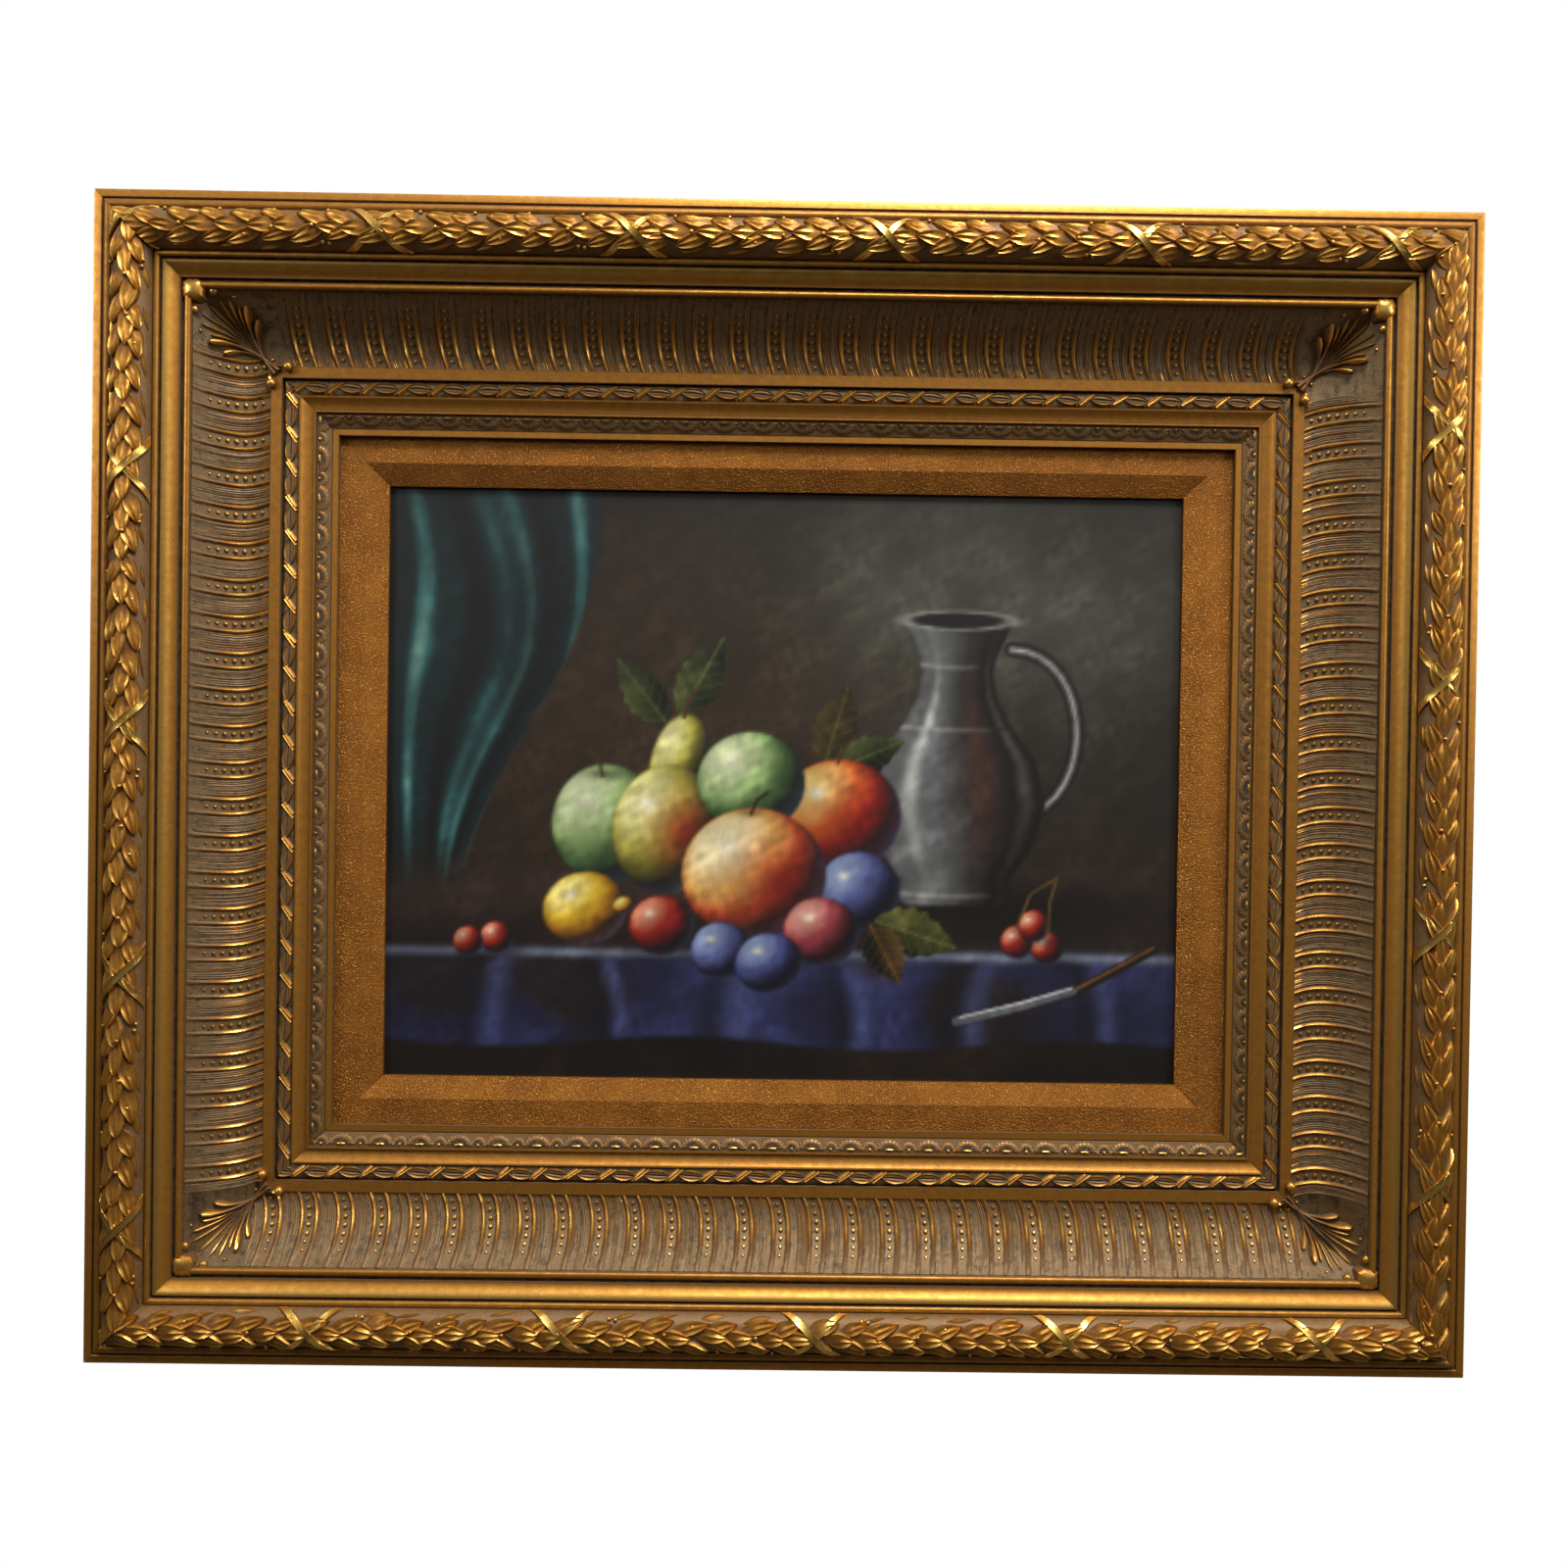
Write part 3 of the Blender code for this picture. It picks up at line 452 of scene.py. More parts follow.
# %% Stamps
def read_points(mesh):
    points = np.empty(len(mesh.vertices) * 3, "f")
    mesh.vertices.foreach_get("co", points)
    return points.reshape(-1, 3).astype(float)


def new_stamp(name, bm, note):
    """Keep a small closed form, with the gilding note that a rule gives each of its points."""
    bmesh.ops.recalc_face_normals(bm, faces=bm.faces[:])
    layer = bm.verts.layers.float.new("gilding")
    for vert in bm.verts:
        vert[layer] = min(max(note(vert.co), 0.0), 1.0)
    mesh = bpy.data.meshes.new(name)
    bm.to_mesh(mesh)
    bm.free()
    return mesh, read_points(mesh)


def press(bm, stamp, points):
    """Add one copy of a stamp, its points already in their place on the stick."""
    mesh = stamp[0]
    mesh.vertices.foreach_set("co", np.asarray(points, "f").ravel())
    bm.from_mesh(mesh)


def slab(columns, rows):
    """A flat closed slab from -1 to 1: its top is a grid, its sides and floor hang under it."""
    bm = bmesh.new()
    top = bmesh.ops.create_grid(bm, x_segments=columns, y_segments=rows, size=1)["verts"]
    rim = [edge for edge in bm.edges if edge.is_boundary]
    grown = bmesh.ops.extrude_edge_only(bm, edges=rim)["geom"]
    low = [item for item in grown if isinstance(item, bmesh.types.BMVert)]
    bmesh.ops.translate(bm, verts=low, vec=(0, 0, -1))
    floor_rim = [edge for edge in bm.edges if edge.is_boundary]
    bmesh.ops.contextual_create(bm, geom=floor_rim)
    return bm, top, low


def shaped(bm, top, low, rule, sink):
    """Move the top points of a slab by a rule, and the floor points with them, sunk."""
    for vert in top:
        vert.co = Vector(rule(vert.co.x, vert.co.y))
    for vert in low:
        x, y, _ = rule(vert.co.x, vert.co.y)
        vert.co = Vector((x, y, -sink))
    return bm


# %% A laurel leaf: three ridges, hollow at its root and plump at its hooded tip
def smooth_step(value):
    value = min(max(value, 0.0), 1.0)
    return value * value * (3 - 2 * value)


def leaf_rule(x, y):
    along = (x + 1) / 2
    outline = 0.06 + 0.94 * math.sin(math.pi * min(along, 1.0) ** 0.85) ** 0.75 if along < 1 else 0.06
    if along < 0.5:
        outline = max(outline, 0.30)
    body = 0.18 + 0.82 * smooth_step(along / 0.78)
    if along > 0.8:
        body *= 1 - 0.55 * ((along - 0.8) / 0.2) ** 2
    ridge = (0.88, 0.50, 1.0, 0.05)[round(abs(y) * 3)]
    return along, y * outline, body * ridge


LEAF_STEPS = 7
bm, top, low = slab(LEAF_STEPS, 6)
LEAF = new_stamp("laurel_leaf", shaped(bm, top, low, leaf_rule, 0.55), lambda co: 0.22 + 0.78 * max(co.z, 0) ** 1.2)


# %% A slender side leaf, a ribbon strap, a berry, a pearl
def blade_rule(x, y):
    along = (x + 1) / 2
    outline = max(0.10, math.sin(math.pi * along) ** 0.8 if 0 < along < 1 else 0.10)
    body = 0.25 + 0.75 * math.sin(math.pi * min(max(along, 0.0), 1.0) ** 1.3)
    return along, y * outline, body * (1.0 if abs(y) < 0.4 else 0.1)


def strap_rule(x, y):
    place = round(abs(y) * 2)
    return x, math.copysign((0, 0.84, 1.0)[place], y), (0.88, 1.0, 0.12)[place]


bm, top, low = slab(6, 2)
BLADE = new_stamp("side_blade", shaped(bm, top, low, blade_rule, 0.6), lambda co: 0.20 + 0.75 * co.z)
bm, top, low = slab(12, 4)
STRAP = new_stamp("ribbon_strap", shaped(bm, top, low, strap_rule, 0.6), lambda co: 0.12 + 0.88 * co.z)
bm = bmesh.new()
bmesh.ops.create_uvsphere(bm, u_segments=8, v_segments=6, radius=1)
BERRY = new_stamp("berry", bm, lambda co: 0.30 + 0.55 * co.z)
bm = bmesh.new()
bmesh.ops.create_uvsphere(bm, u_segments=7, v_segments=4, radius=1)
PEARL = new_stamp("pearl", bm, lambda co: 0.13 + 0.87 * max(co.z, 0) ** 2)
bm = bmesh.new()
bmesh.ops.create_uvsphere(bm, u_segments=7, v_segments=4, radius=1)
FAN_BEAD = new_stamp("fan_bead", bm, lambda co: 0.30 + 0.70 * max(co.z, 0))
print("leaf stamp:", len(LEAF[0].polygons), "faces; pearl:", len(PEARL[0].polygons))


# %% Bending a flat place onto the surfaces of the outer moulding
def on_torus(along, arc, rise):
    """Along the stick, the distance round the torus from its crown, and the height above it."""
    angle = arc / TORUS_RADIUS
    reach = TORUS_RADIUS + rise
    across = TORUS_MIDDLE + reach * np.sin(angle) - RAIL_WIDTH
    return np.column_stack((along, across, TORUS_CENTRE + reach * np.cos(angle)))


def on_cove(along, share, rise):
    """Along the stick, the share of the cove's width from its bead, and the height above it."""
    slope = -2 * COVE_RISE / COVE_WIDTH * (1 - share)
    length = np.hypot(1, slope)
    across = COVE_START + share * COVE_WIDTH - rise * slope / length - RAIL_WIDTH
    return np.column_stack((along, across, COVE_FOOT + COVE_RISE * (1 - share) ** 2 + rise / length))


def turned(points, length, width, lift, tilt):
    """A stamp scaled to its size and turned in its own plane, as three columns."""
    x = points[:, 0] * length
    y = points[:, 1] * width / 2
    x, y = x * math.cos(tilt) - y * math.sin(tilt), x * math.sin(tilt) + y * math.cos(tilt)
    return x, y, points[:, 2] * lift


def places_along(offset, pitch, reach):
    """Every place at a pitch from an offset that lies within a reach of the middle."""
    first = math.ceil((-reach - offset) / pitch)
    last = math.floor((reach - offset) / pitch)
    return [offset + step * pitch for step in range(first, last + 1)]


# %% [markdown]
# ## Plain bands
# The section of the moulding is a closed outline. Half rounds are arcs, the cove is part of a
# parabola and flats get a point just inside each edge, so that the wash can sit in the grooves
# while the middle of the band is rubbed bright. Extruding the outline makes the whole stick.


# %% Outlines with a gilding note at each point
EDGE_INSET = 0.45 * MM


def round_band(ends, base, rise, low, high, steps):
    start, end = ends
    points = []
    for step in range(steps + 1):
        turn = math.pi * (1 - step / steps)
        across = (start + end) / 2 + (end - start) / 2 * math.cos(turn)
        points.append((across, base + rise * math.sin(turn), low + (high - low) * math.sin(turn)))
    return points


def flat_band(ends, heights, low, high):
    (start, end), (first, last) = ends, heights
    slope = (last - first) / (end - start)
    inset = EDGE_INSET
    return [
        (start, first, low),
        (start + inset, first + inset * slope, high),
        (end - inset, last - inset * slope, high),
        (end, last, low),
    ]


def outer_outline():
    """The outer moulding's section with fine curves."""
    points = [(0, EDGE_TOP - 1.0 * MM, 0.45), (0.35 * MM, EDGE_TOP - 0.5 * MM, 0.80)]
    points += [(0.9 * MM, EDGE_TOP - 0.35 * MM, 0.62), (EDGE_FLAT - EDGE_INSET, EDGE_TOP, 0.56)]
    points += [(EDGE_FLAT, EDGE_TOP - 0.3 * MM, 0.35), (EDGE_FLAT, EDGE_TOP - GROOVE_DEPTH, 0.05)]
    points += [(EDGE_BEAD[0], EDGE_TOP - GROOVE_DEPTH, 0.05)]
    points += round_band(EDGE_BEAD, EDGE_BEAD_BASE, 2.25 * MM, 0.12, 0.52, 10)
    for step in range(25):
        angle = TORUS_HALF_SWEEP * (2 * step / 24 - 1)
        across = TORUS_MIDDLE + TORUS_RADIUS * math.sin(angle)
        points.append((across, TORUS_CENTRE + TORUS_RADIUS * math.cos(angle), 0.20))
    points += round_band(FOOT_BEAD, FOOT_BEAD_BASE, 1.5 * MM, 0.10, 0.78, 8)
    groove = FOOT_BEAD_BASE - GROOVE_DEPTH
    points += [(FOOT_BEAD[1], groove, 0.03), (OGEE[0], groove, 0.03)]
    for step in range(13):
        share = step / 12
        height = OGEE_LOW + (OGEE_HIGH - OGEE_LOW) * (1 + math.cos(math.pi * share)) / 2
        note = 0.20 if step in (0, 12) else 0.70 + 0.18 * math.cos(math.pi * share)
        points.append((OGEE[0] + share * (OGEE[1] - OGEE[0]), height, note))
    groove = COVE_BEAD_BASE - GROOVE_DEPTH / 2
    points += [(OGEE[1], groove, 0.03), (COVE_BEAD[0], groove, 0.03)]
    points += round_band(COVE_BEAD, COVE_BEAD_BASE, 1.7 * MM, 0.12, 0.70, 8)
    for step in range(13):
        share = step / 12
        points.append((COVE_START + share * COVE_WIDTH, COVE_FOOT + COVE_RISE * (1 - share) ** 2 - COVE_BURIED, 0.0))
    points += flat_band((COVE_END, OUTER_END), (FILLET_TOP, FILLET_TOP), 0.22, 0.54)
    points += [(OUTER_END, OUTER_UNDER, 0.0), (REBATE, OUTER_UNDER, 0.0), (REBATE, LEG_DEPTH, 0.0)]
    points += [(LEG_END, LEG_DEPTH, 0.0), (LEG_END, 0, 0.0), (LEG_START, 0, 0.1)]
    return points


COVE_BURIED = 0.6 * MM


def extruded(outline, reach):
    """A stick from a closed outline, with the gilding note on its points."""
    bm = bmesh.new()
    layer = bm.verts.layers.float.new("gilding")
    ring = [bm.verts.new((-reach, across - RAIL_WIDTH, height)) for across, height, _ in outline]
    for vert, (_, _, note) in zip(ring, outline):
        vert[layer] = note
    face = bm.faces.new(ring)
    grown = bmesh.ops.extrude_face_region(bm, geom=[face])["geom"]
    moved = [item for item in grown if isinstance(item, bmesh.types.BMVert)]
    bmesh.ops.translate(bm, verts=moved, vec=(2 * reach, 0, 0))
    return bm


def mitre(bm, half_along):
    """Cut both ends at 45 degrees through the corner of the picture opening."""
    for end in (-1, 1):
        normal = Vector((end, 1, 0)).normalized()
        point = Vector((end * half_along, 0, 0)) - normal * (MITRE_GAP / 2)
        geometry = bm.verts[:] + bm.edges[:] + bm.faces[:]
        cut = bmesh.ops.bisect_plane(
            bm, geom=geometry, dist=1e-7, plane_co=point, plane_no=normal, clear_outer=True
        )
        rim = [item for item in cut["geom_cut"] if isinstance(item, bmesh.types.BMEdge)]
        bmesh.ops.holes_fill(bm, edges=rim, sides=0)


SHARP = math.radians(38)


def settle(bm, name, matrix, materials, node, sharp=SHARP):
    """Turn a bmesh into a finished piece that stands for a node of the solid model."""
    bmesh.ops.recalc_face_normals(bm, faces=bm.faces[:])
    mesh = bpy.data.meshes.new(name)
    bm.to_mesh(mesh)
    bm.free()
    stick = mesh.attributes.new("stick", "FLOAT_VECTOR", "POINT")
    stick.data.foreach_set("vector", read_points(mesh).astype("f").ravel())
    mesh.transform(matrix)
    mesh.shade_smooth()
    mesh.set_sharp_from_angle(angle=sharp)
    for material in materials:
        mesh.materials.append(material)
    piece = bpy.data.objects.new(name, mesh)
    bpy.context.scene.collection.objects.link(piece)
    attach(piece, "root")
    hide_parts(node)
    mesh.calc_loop_triangles()
    print(name, len(mesh.loop_triangles), "triangles")
    return piece


# %% [markdown]
# ## Laurel and ribbon crosses
# The torus carries laurel: big leaves down the crown, smaller ones in a column on each side, thin
# blades along both feet and a berry here and there, tied by a crossed ribbon every 118 mm. The
# pattern repeats between crosses, so one list describes it: where each tip lies before the next
# cross, how far round the torus, and the leaf's length, width and tilt. A little seeded variation
# keeps the repeats from looking stamped.

# %% One repeat of laurel, in mm and degrees; across is a share of the torus, -1 its outer foot
CROSS_PERIOD = 118.0
TORUS_ARC = TORUS_RADIUS * TORUS_HALF_SWEEP
LAUREL_COLUMNS = ((-0.50, 6.0, -15, 7.8), (0.00, 13.0, 0, 8.8), (0.50, 5.0, 15, 8.0))
LAUREL_PITCH = 14.75
LAUREL = tuple(
    (before + step * LAUREL_PITCH, across, 16.0 + 2.0 * (step % 2), width, tilt)
    for across, before, tilt, width in LAUREL_COLUMNS
    for step in range(8)
)
STRAP_CLEARANCE = 5.0
BLADES = (
    (27.0, -0.64, 17.0, 2.6, -9), (56.0, -0.64, 15.0, 2.6, -9), (80.0, -0.66, 13.0, 2.4, -9),
    (101.0, -0.68, 12.0, 2.4, -9), (22.5, 0.80, 13.0, 2.8, 9), (44.0, 0.80, 12.0, 2.8, 9),
    (64.0, 0.82, 11.0, 2.6, 9), (83.0, 0.80, 11.0, 2.6, 9), (103.0, 0.80, 11.0, 2.6, 9),
)
BERRIES = (
    (19.7, -0.66), (45.0, -0.66), (70.0, -0.66), (95.0, -0.66), (27.5, 0.02), (57.0, 0.36),
    (93.0, 0.58), (96.0, 0.62), (70.0, 0.10), (88.5, 0.02),
)
LEAF_LIFT = 2.0
BLADE_LIFT = 1.0
BERRY_RADIUS = 1.05
STRAP_HALF_SPAN = 13.5


def add_laurel(bm, side, reach, chance):
    """Leaves, blades, berries and the crossed ribbon along one rail."""
    crosses = places_along(SIDES[side][1] * MM, CROSS_PERIOD * MM, reach + CROSS_PERIOD * MM)
    for cross in crosses:
        for stamp, table, lift in ((BLADE, BLADES, BLADE_LIFT), (LEAF, LAUREL, LEAF_LIFT)):
            for before, across, length, width, tilt in table:
                near = chance.normal(0, (1.3, 0.04, 1.3, 0.6, 4.0))
                tip = cross + (CROSS_PERIOD - before + near[0]) * MM
                middle = min(before + length / 2, CROSS_PERIOD - before - length / 2, key=abs)
                if abs(tip) > reach or abs(abs(middle) - STRAP_HALF_SPAN * abs(across)) < STRAP_CLEARANCE:
                    continue
                length, width = (length + near[2]) * MM, (width + near[3]) * MM
                turn = math.radians(tilt + near[4])
                x, y, z = turned(stamp[1], length, width, lift * MM, turn)
                side_place = (across + near[1]) * TORUS_ARC - length * math.sin(turn)
                press(bm, stamp, on_torus(tip - length * math.cos(turn) + x, side_place + y, z))
        for before, across in BERRIES:
            place = cross + (CROSS_PERIOD - before) * MM
            if abs(place) < reach:
                ball = BERRY[1] * BERRY_RADIUS * MM
                lift = (1.0 if abs(across) < 0.2 else 0.55) * MM
                press(bm, BERRY, on_torus(place + ball[:, 0], across * TORUS_ARC + ball[:, 1], lift + ball[:, 2]))
        for lean, half_width, lift in ((1, 1.9 * MM, 1.5 * MM), (-1, 2.1 * MM, 1.75 * MM)):
            x, y, z = STRAP[1].T
            over = 0.40 * MM * np.exp(-((x / 0.28) ** 2)) * (lean < 0)
            along = cross + lean * STRAP_HALF_SPAN * MM * x + y * half_width * 1.2
            sunk = np.where(z > 0, z * lift + over - 0.9 * MM * np.abs(x) ** 6, z * MM)
            press(bm, STRAP, on_torus(along, x * TORUS_ARC * 0.98, sunk))


# %% [markdown]
# ## The ribbed cove
# Pairs of thin ribs run down the cove with a row of pearls between them, and the ground between one
# pair and the next is combed with fine irregular lines. All of it leans the same way at both ends.
# Because every line follows the same bow, a grid whose columns follow that bow carries all of them
# with few points: columns sit only on the crests and feet of the lines.

# %% Columns of one repeat of the cove, in mm from the middle of a pair of ribs
RIB_PITCH = 17.6
RIB_PLACE = 3.5
COMB = (5.5, 6.5, 7.6, 8.6)
COVE_ROWS = 20
RIBLESS = 32.5
GROUND = 0.15


def cove_columns(offset, reach, chance):
    """Place, height and gilding note of each column along the whole cove."""
    columns = []
    for pair in places_along(offset, RIB_PITCH, reach - RIBLESS):
        for sign in (-1, 1):
            rib = pair + sign * RIB_PLACE
            columns += [(rib - 1.2, -0.08, 0.05), (rib - 0.80, 0.50, 0.60), (rib, 1.10, 1.0)]
            columns += [(rib + 0.80, 0.50, 0.60), (rib + 1.2, -0.08, 0.05)]
            for crest in COMB:
                place = pair + sign * (crest + chance.normal(0, 0.14))
                height = 0.16 + 0.26 * chance.random()
                columns += [(place, height, GROUND + 5.0 * max(height - 0.32, 0))]
                columns += [(place + sign * 0.42, 0.02, GROUND - 0.06)]
        columns += [(pair - 1.6, -0.10, GROUND), (pair, -0.12, GROUND), (pair + 1.6, -0.10, GROUND)]
    plain = [(sign * reach, 0.0, GROUND) for sign in (-1, 1)]
    return sorted(columns + plain)


def bow(share):
    """How far every line of the cove leans back, in mm, at a share of the cove's width."""
    outer = 1.6 * np.clip((0.45 - share) / 0.45, 0, 1) ** 2
    inner = 3.2 * np.clip((share - 0.5) / 0.5, 0, 1) ** 2
    return -(outer + inner)


def add_cove(bm, side, reach, chance):
    """The combed and ribbed face of the cove, with its pearls."""
    columns = np.array(cove_columns(SIDES[side][2], reach / MM, chance))
    count = len(columns) - 1
    band, top, low = slab(count, COVE_ROWS)
    for row in range(1, COVE_ROWS):
        place = 2 * row / COVE_ROWS - 1
        pair = [vert for vert in low if abs(vert.co.y - place) < 0.01 and abs(vert.co.x) > 0.9999]
        bmesh.ops.connect_verts(band, verts=pair)
    layer = band.verts.layers.float.new("gilding")
    wander = chance.normal(0, 1, (len(columns), COVE_ROWS + 1))
    for vert in band.verts:
        column = round((vert.co.x + 1) / 2 * count)
        row = round((vert.co.y + 1) / 2 * COVE_ROWS)
        share = row / COVE_ROWS
        place, height, note = columns[column]
        fade = min(1.0, 0.35 + share * 1.6)
        rough = 0.045 * wander[column, row] * (0 < row < COVE_ROWS)
        rise = height * fade + rough * (height > 0.1)
        worn = 0.08 + 0.92 * math.exp(-(((share - 0.62) / 0.25) ** 2))
        if note > GROUND:
            note = GROUND + (note - GROUND) * worn
        if share > 0.87 and height > 0.1:
            note = max(note, 0.25 + 0.38 * abs(wander[column, 0]))
        vert[layer] = min(max(note + 0.8 * rough, 0), 1)
        if vert.co.z < -0.5:
            rise = -1.1
        vert.co = on_cove(np.array([(place + bow(share)) * MM]), np.array([share]), np.array([rise * MM]))[0]
    mesh = bpy.data.meshes.new("cove_band")
    band.to_mesh(mesh)
    band.free()
    bm.from_mesh(mesh)
    bpy.data.meshes.remove(mesh)
    for pair in places_along(SIDES[side][2], RIB_PITCH, reach / MM - RIBLESS):
        for share, radius in PEARLS:
            ball = PEARL[1] * radius * MM
            along = (pair + bow(share)) * MM + ball[:, 0]
            press(bm, PEARL, on_cove(along, share + ball[:, 1] / COVE_WIDTH, 0.12 * MM + ball[:, 2]))


PEARLS = ((0.19, 0.66), (0.295, 0.84), (0.40, 1.00), (0.515, 1.12), (0.635, 1.16), (0.76, 1.10), (0.885, 0.94))


# %% Carve and stand the four outer rails
def outer_rail(side):
    half_along = half_lengths(side)[0]
    reach = half_along + RAIL_WIDTH
    chance = np.random.default_rng(100 + SIDES[side][0])
    bm = extruded(outer_outline(), reach)
    for face in bm.faces:
        middle = face.calc_center_median()
        on_back = middle.z < OUTER_UNDER + EDGE_INSET and middle.y > LEG_START / 2 - RAIL_WIDTH + EDGE_INSET
        face.material_index = 1 if on_back else 0
    add_cove(bm, side, reach - COVE_START, chance)
    add_laurel(bm, side, reach, chance)
    mitre(bm, half_along)
    settle(bm, "gilt_outer_rail_" + side, stand_rail(side), (rail_gilt, rail_back_wood),
           "outer_rail_" + side)


for side in SIDES:
    outer_rail(side)

# %% [markdown]
# ## The inner moulding
# Two small patterns run round the inner moulding. The first is a twisted ribbon: lens-shaped turns,
# each with a dark slit along its middle, joined by slanting straps. The second is a band of little
# fluted fans that hang toward the picture, a large one and a small one in turn, with a bright bead
# over each. Between the two runs a plain band: a shallow hollow with a thin lip along its inner edge.


# %% Stamps for the inner moulding
def lens_rule(x, y):
    outline = max(0.05, (1 - x * x) ** 0.8)
    height = (0.05, 0.60, 0.52, 1.0, 0.10)[round(abs(y) * 4)]
    return x, y * outline, height * (0.45 + 0.55 * outline)


FAN_LOBES = 9


def fan_rule(x, y):
    """Lobes on every second column; they grow toward a rim that drops away."""
    lobe = round((x + 1) * FAN_LOBES) % 2
    reach = 0.12 + 0.88 * (y + 1) / 2
    angle = math.pi / 2 * x
    edge = reach * (1.0 if lobe else 0.90)
    height = 0.12 if y > 0.99 else (0.30 + 0.70 * reach) * (1.0 if lobe else 0.72)
    return math.sin(angle) * edge, math.cos(angle) * edge, height


bm, top, low = slab(10, 8)
LENS = new_stamp("twist_lens", shaped(bm, top, low, lens_rule, 0.5), lambda co: 0.02 + 0.78 * max(co.z, 0) ** 2.2)
bm, top, low = slab(2 * FAN_LOBES, 4)
FAN = new_stamp("fluted_fan", shaped(bm, top, low, fan_rule, 0.5),
                lambda co: 0.9 * co.z * math.exp(-((math.hypot(co.x, co.y) - 0.80) / 0.10) ** 2))
bm, top, low = slab(5, 2)
TIE = new_stamp("twist_tie", shaped(bm, top, low, lambda x, y: (x, y, 1.0 - 0.85 * abs(y)), 0.6),
                lambda co: 0.20 + 0.60 * co.z)
print("lens stamp:", len(LENS[0].polygons), "faces; fan:", len(FAN[0].polygons))

# %% Places on the inner moulding
TWIST_RISE = 1.8 * MM
TWIST_BED = 0.85 * MM
TWIST_PITCH = 16.6
FAN_PITCH = 19.2
FAN_SUNK = 0.45 * MM


def on_twist(along, across, rise):
    """Across is counted from the middle of the twist's bed."""
    share = np.clip(across / ((TWIST[1] - TWIST[0]) / 2), -0.98, 0.98)
    bed = TWIST_TOP - TWIST_RISE + TWIST_BED * np.sqrt(1 - share ** 2)
    return np.column_stack((along, (TWIST[0] + TWIST[1]) / 2 + across - RAIL_WIDTH, bed + rise))


def on_band(along, across, rise):
    """Across is counted from the outer edge of the sloping band of fans."""
    slope = (TONGUE_LOW - TONGUE_HIGH) / (TONGUE[1] - TONGUE[0])
    height = TONGUE_HIGH - FAN_SUNK + slope * across + rise
    return np.column_stack((along, TONGUE[0] + across - RAIL_WIDTH, height))


def scoop(ends, base, rise):
    """The plain band: a shallow hollow that falls away from the twist to a thin lip by the fans."""
    start, end = ends
    rim, foot = base + 0.9 * rise, base + 0.7 * MM
    points = [(start, base, 0.12), (start + 0.3 * MM, rim, 0.50)]
    for step in range(9):
        share = step / 8
        across = start + 0.7 * MM + share * (end - start - 2.5 * MM)
        points.append((across, foot + (rim - foot) * (1 - share) ** 2, 0.58 - 0.10 * share))
    points += [(end - 1.6 * MM, foot - 0.1 * MM, 0.12), (end - 1.2 * MM, foot + 0.9 * MM, 0.52)]
    return points + [(end - 0.4 * MM, foot + 0.9 * MM, 0.52), (end, base, 0.12)]


def inner_outline():
    """The inner moulding's section, from the lug that the outer moulding covers to the picture."""
    points = [(*LUG, 0.0), (TWIST[0], LUG[1], 0.0)]
    points += round_band(TWIST, TWIST_TOP - TWIST_RISE, TWIST_BED, 0.02, 0.10, 6)
    points += scoop(ROUND, ROUND_BASE, ROUND_RISE)
    points += [(TONGUE[0], ROUND_BASE - 0.6 * MM, 0.0)]
    points += flat_band(TONGUE, (TONGUE_HIGH - FAN_SUNK, TONGUE_LOW - FAN_SUNK), 0.16, 0.24)
    points += [(TONGUE[1], INNER_GROOVE, 0.0), (INNER_FILLET[0], INNER_GROOVE, 0.0)]
    points += flat_band(INNER_FILLET, (INNER_TOP, INNER_TOP), 0.30, 0.60)
    points += [(INNER_FILLET[1], INNER_UNDER, 0.0), (INNER_WALL, INNER_UNDER, 0.0)]
    return points + [(INNER_WALL, INNER_BACK, 0.0), (LUG[0], INNER_BACK, 0.0)]


# %% Press the twist and the fans, and stand the four inner rails
def add_twist(bm, side, reach, chance):
    for place in places_along(SIDES[side][3], TWIST_PITCH, reach / MM):
        tilt, size = math.radians(chance.normal(-4, 1.5)), chance.normal(1, 0.03)
        x, y, z = turned(LENS[1], 6.2 * size * MM, 6.3 * MM, 1.40 * MM, tilt)
        press(bm, LENS, on_twist(place * MM + x, y - 0.1 * MM, z))
        for shift, width in ((7.4, 2.8), (9.4, 2.0)):
            x, y, z = turned(TIE[1], 4.3 * MM, width * MM, 0.85 * MM, math.radians(36 + chance.normal(0, 3)))
            press(bm, TIE, on_twist((place + shift) * MM + x, y, z))


def add_fans(bm, side, reach, chance):
    for place in places_along(SIDES[side][4], FAN_PITCH, reach / MM):
        for shift, half_width, depth, rise in ((0, 7.2, 5.1, 1.15), (FAN_PITCH / 2, 4.1, 4.2, 0.70)):
            tilt = math.radians(chance.normal(0, 1.2))
            x, y, z = turned(FAN[1], half_width * MM, 2 * depth * MM, rise * MM, tilt)
            press(bm, FAN, on_band((place + shift) * MM + x, 0.8 * MM + y, z))
        for shift, long, wide in ((0, 2.7, 0.62), (FAN_PITCH / 2, 0.75, 0.65), (6.4, 0.4, 0.35), (-6.4, 0.4, 0.35)):
            x, y, z = (FAN_BEAD[1] * (long * MM, wide * MM, 0.85 * MM)).T
            press(bm, FAN_BEAD, on_band((place + shift) * MM + x, 1.15 * MM + y, z + 0.40 * MM))


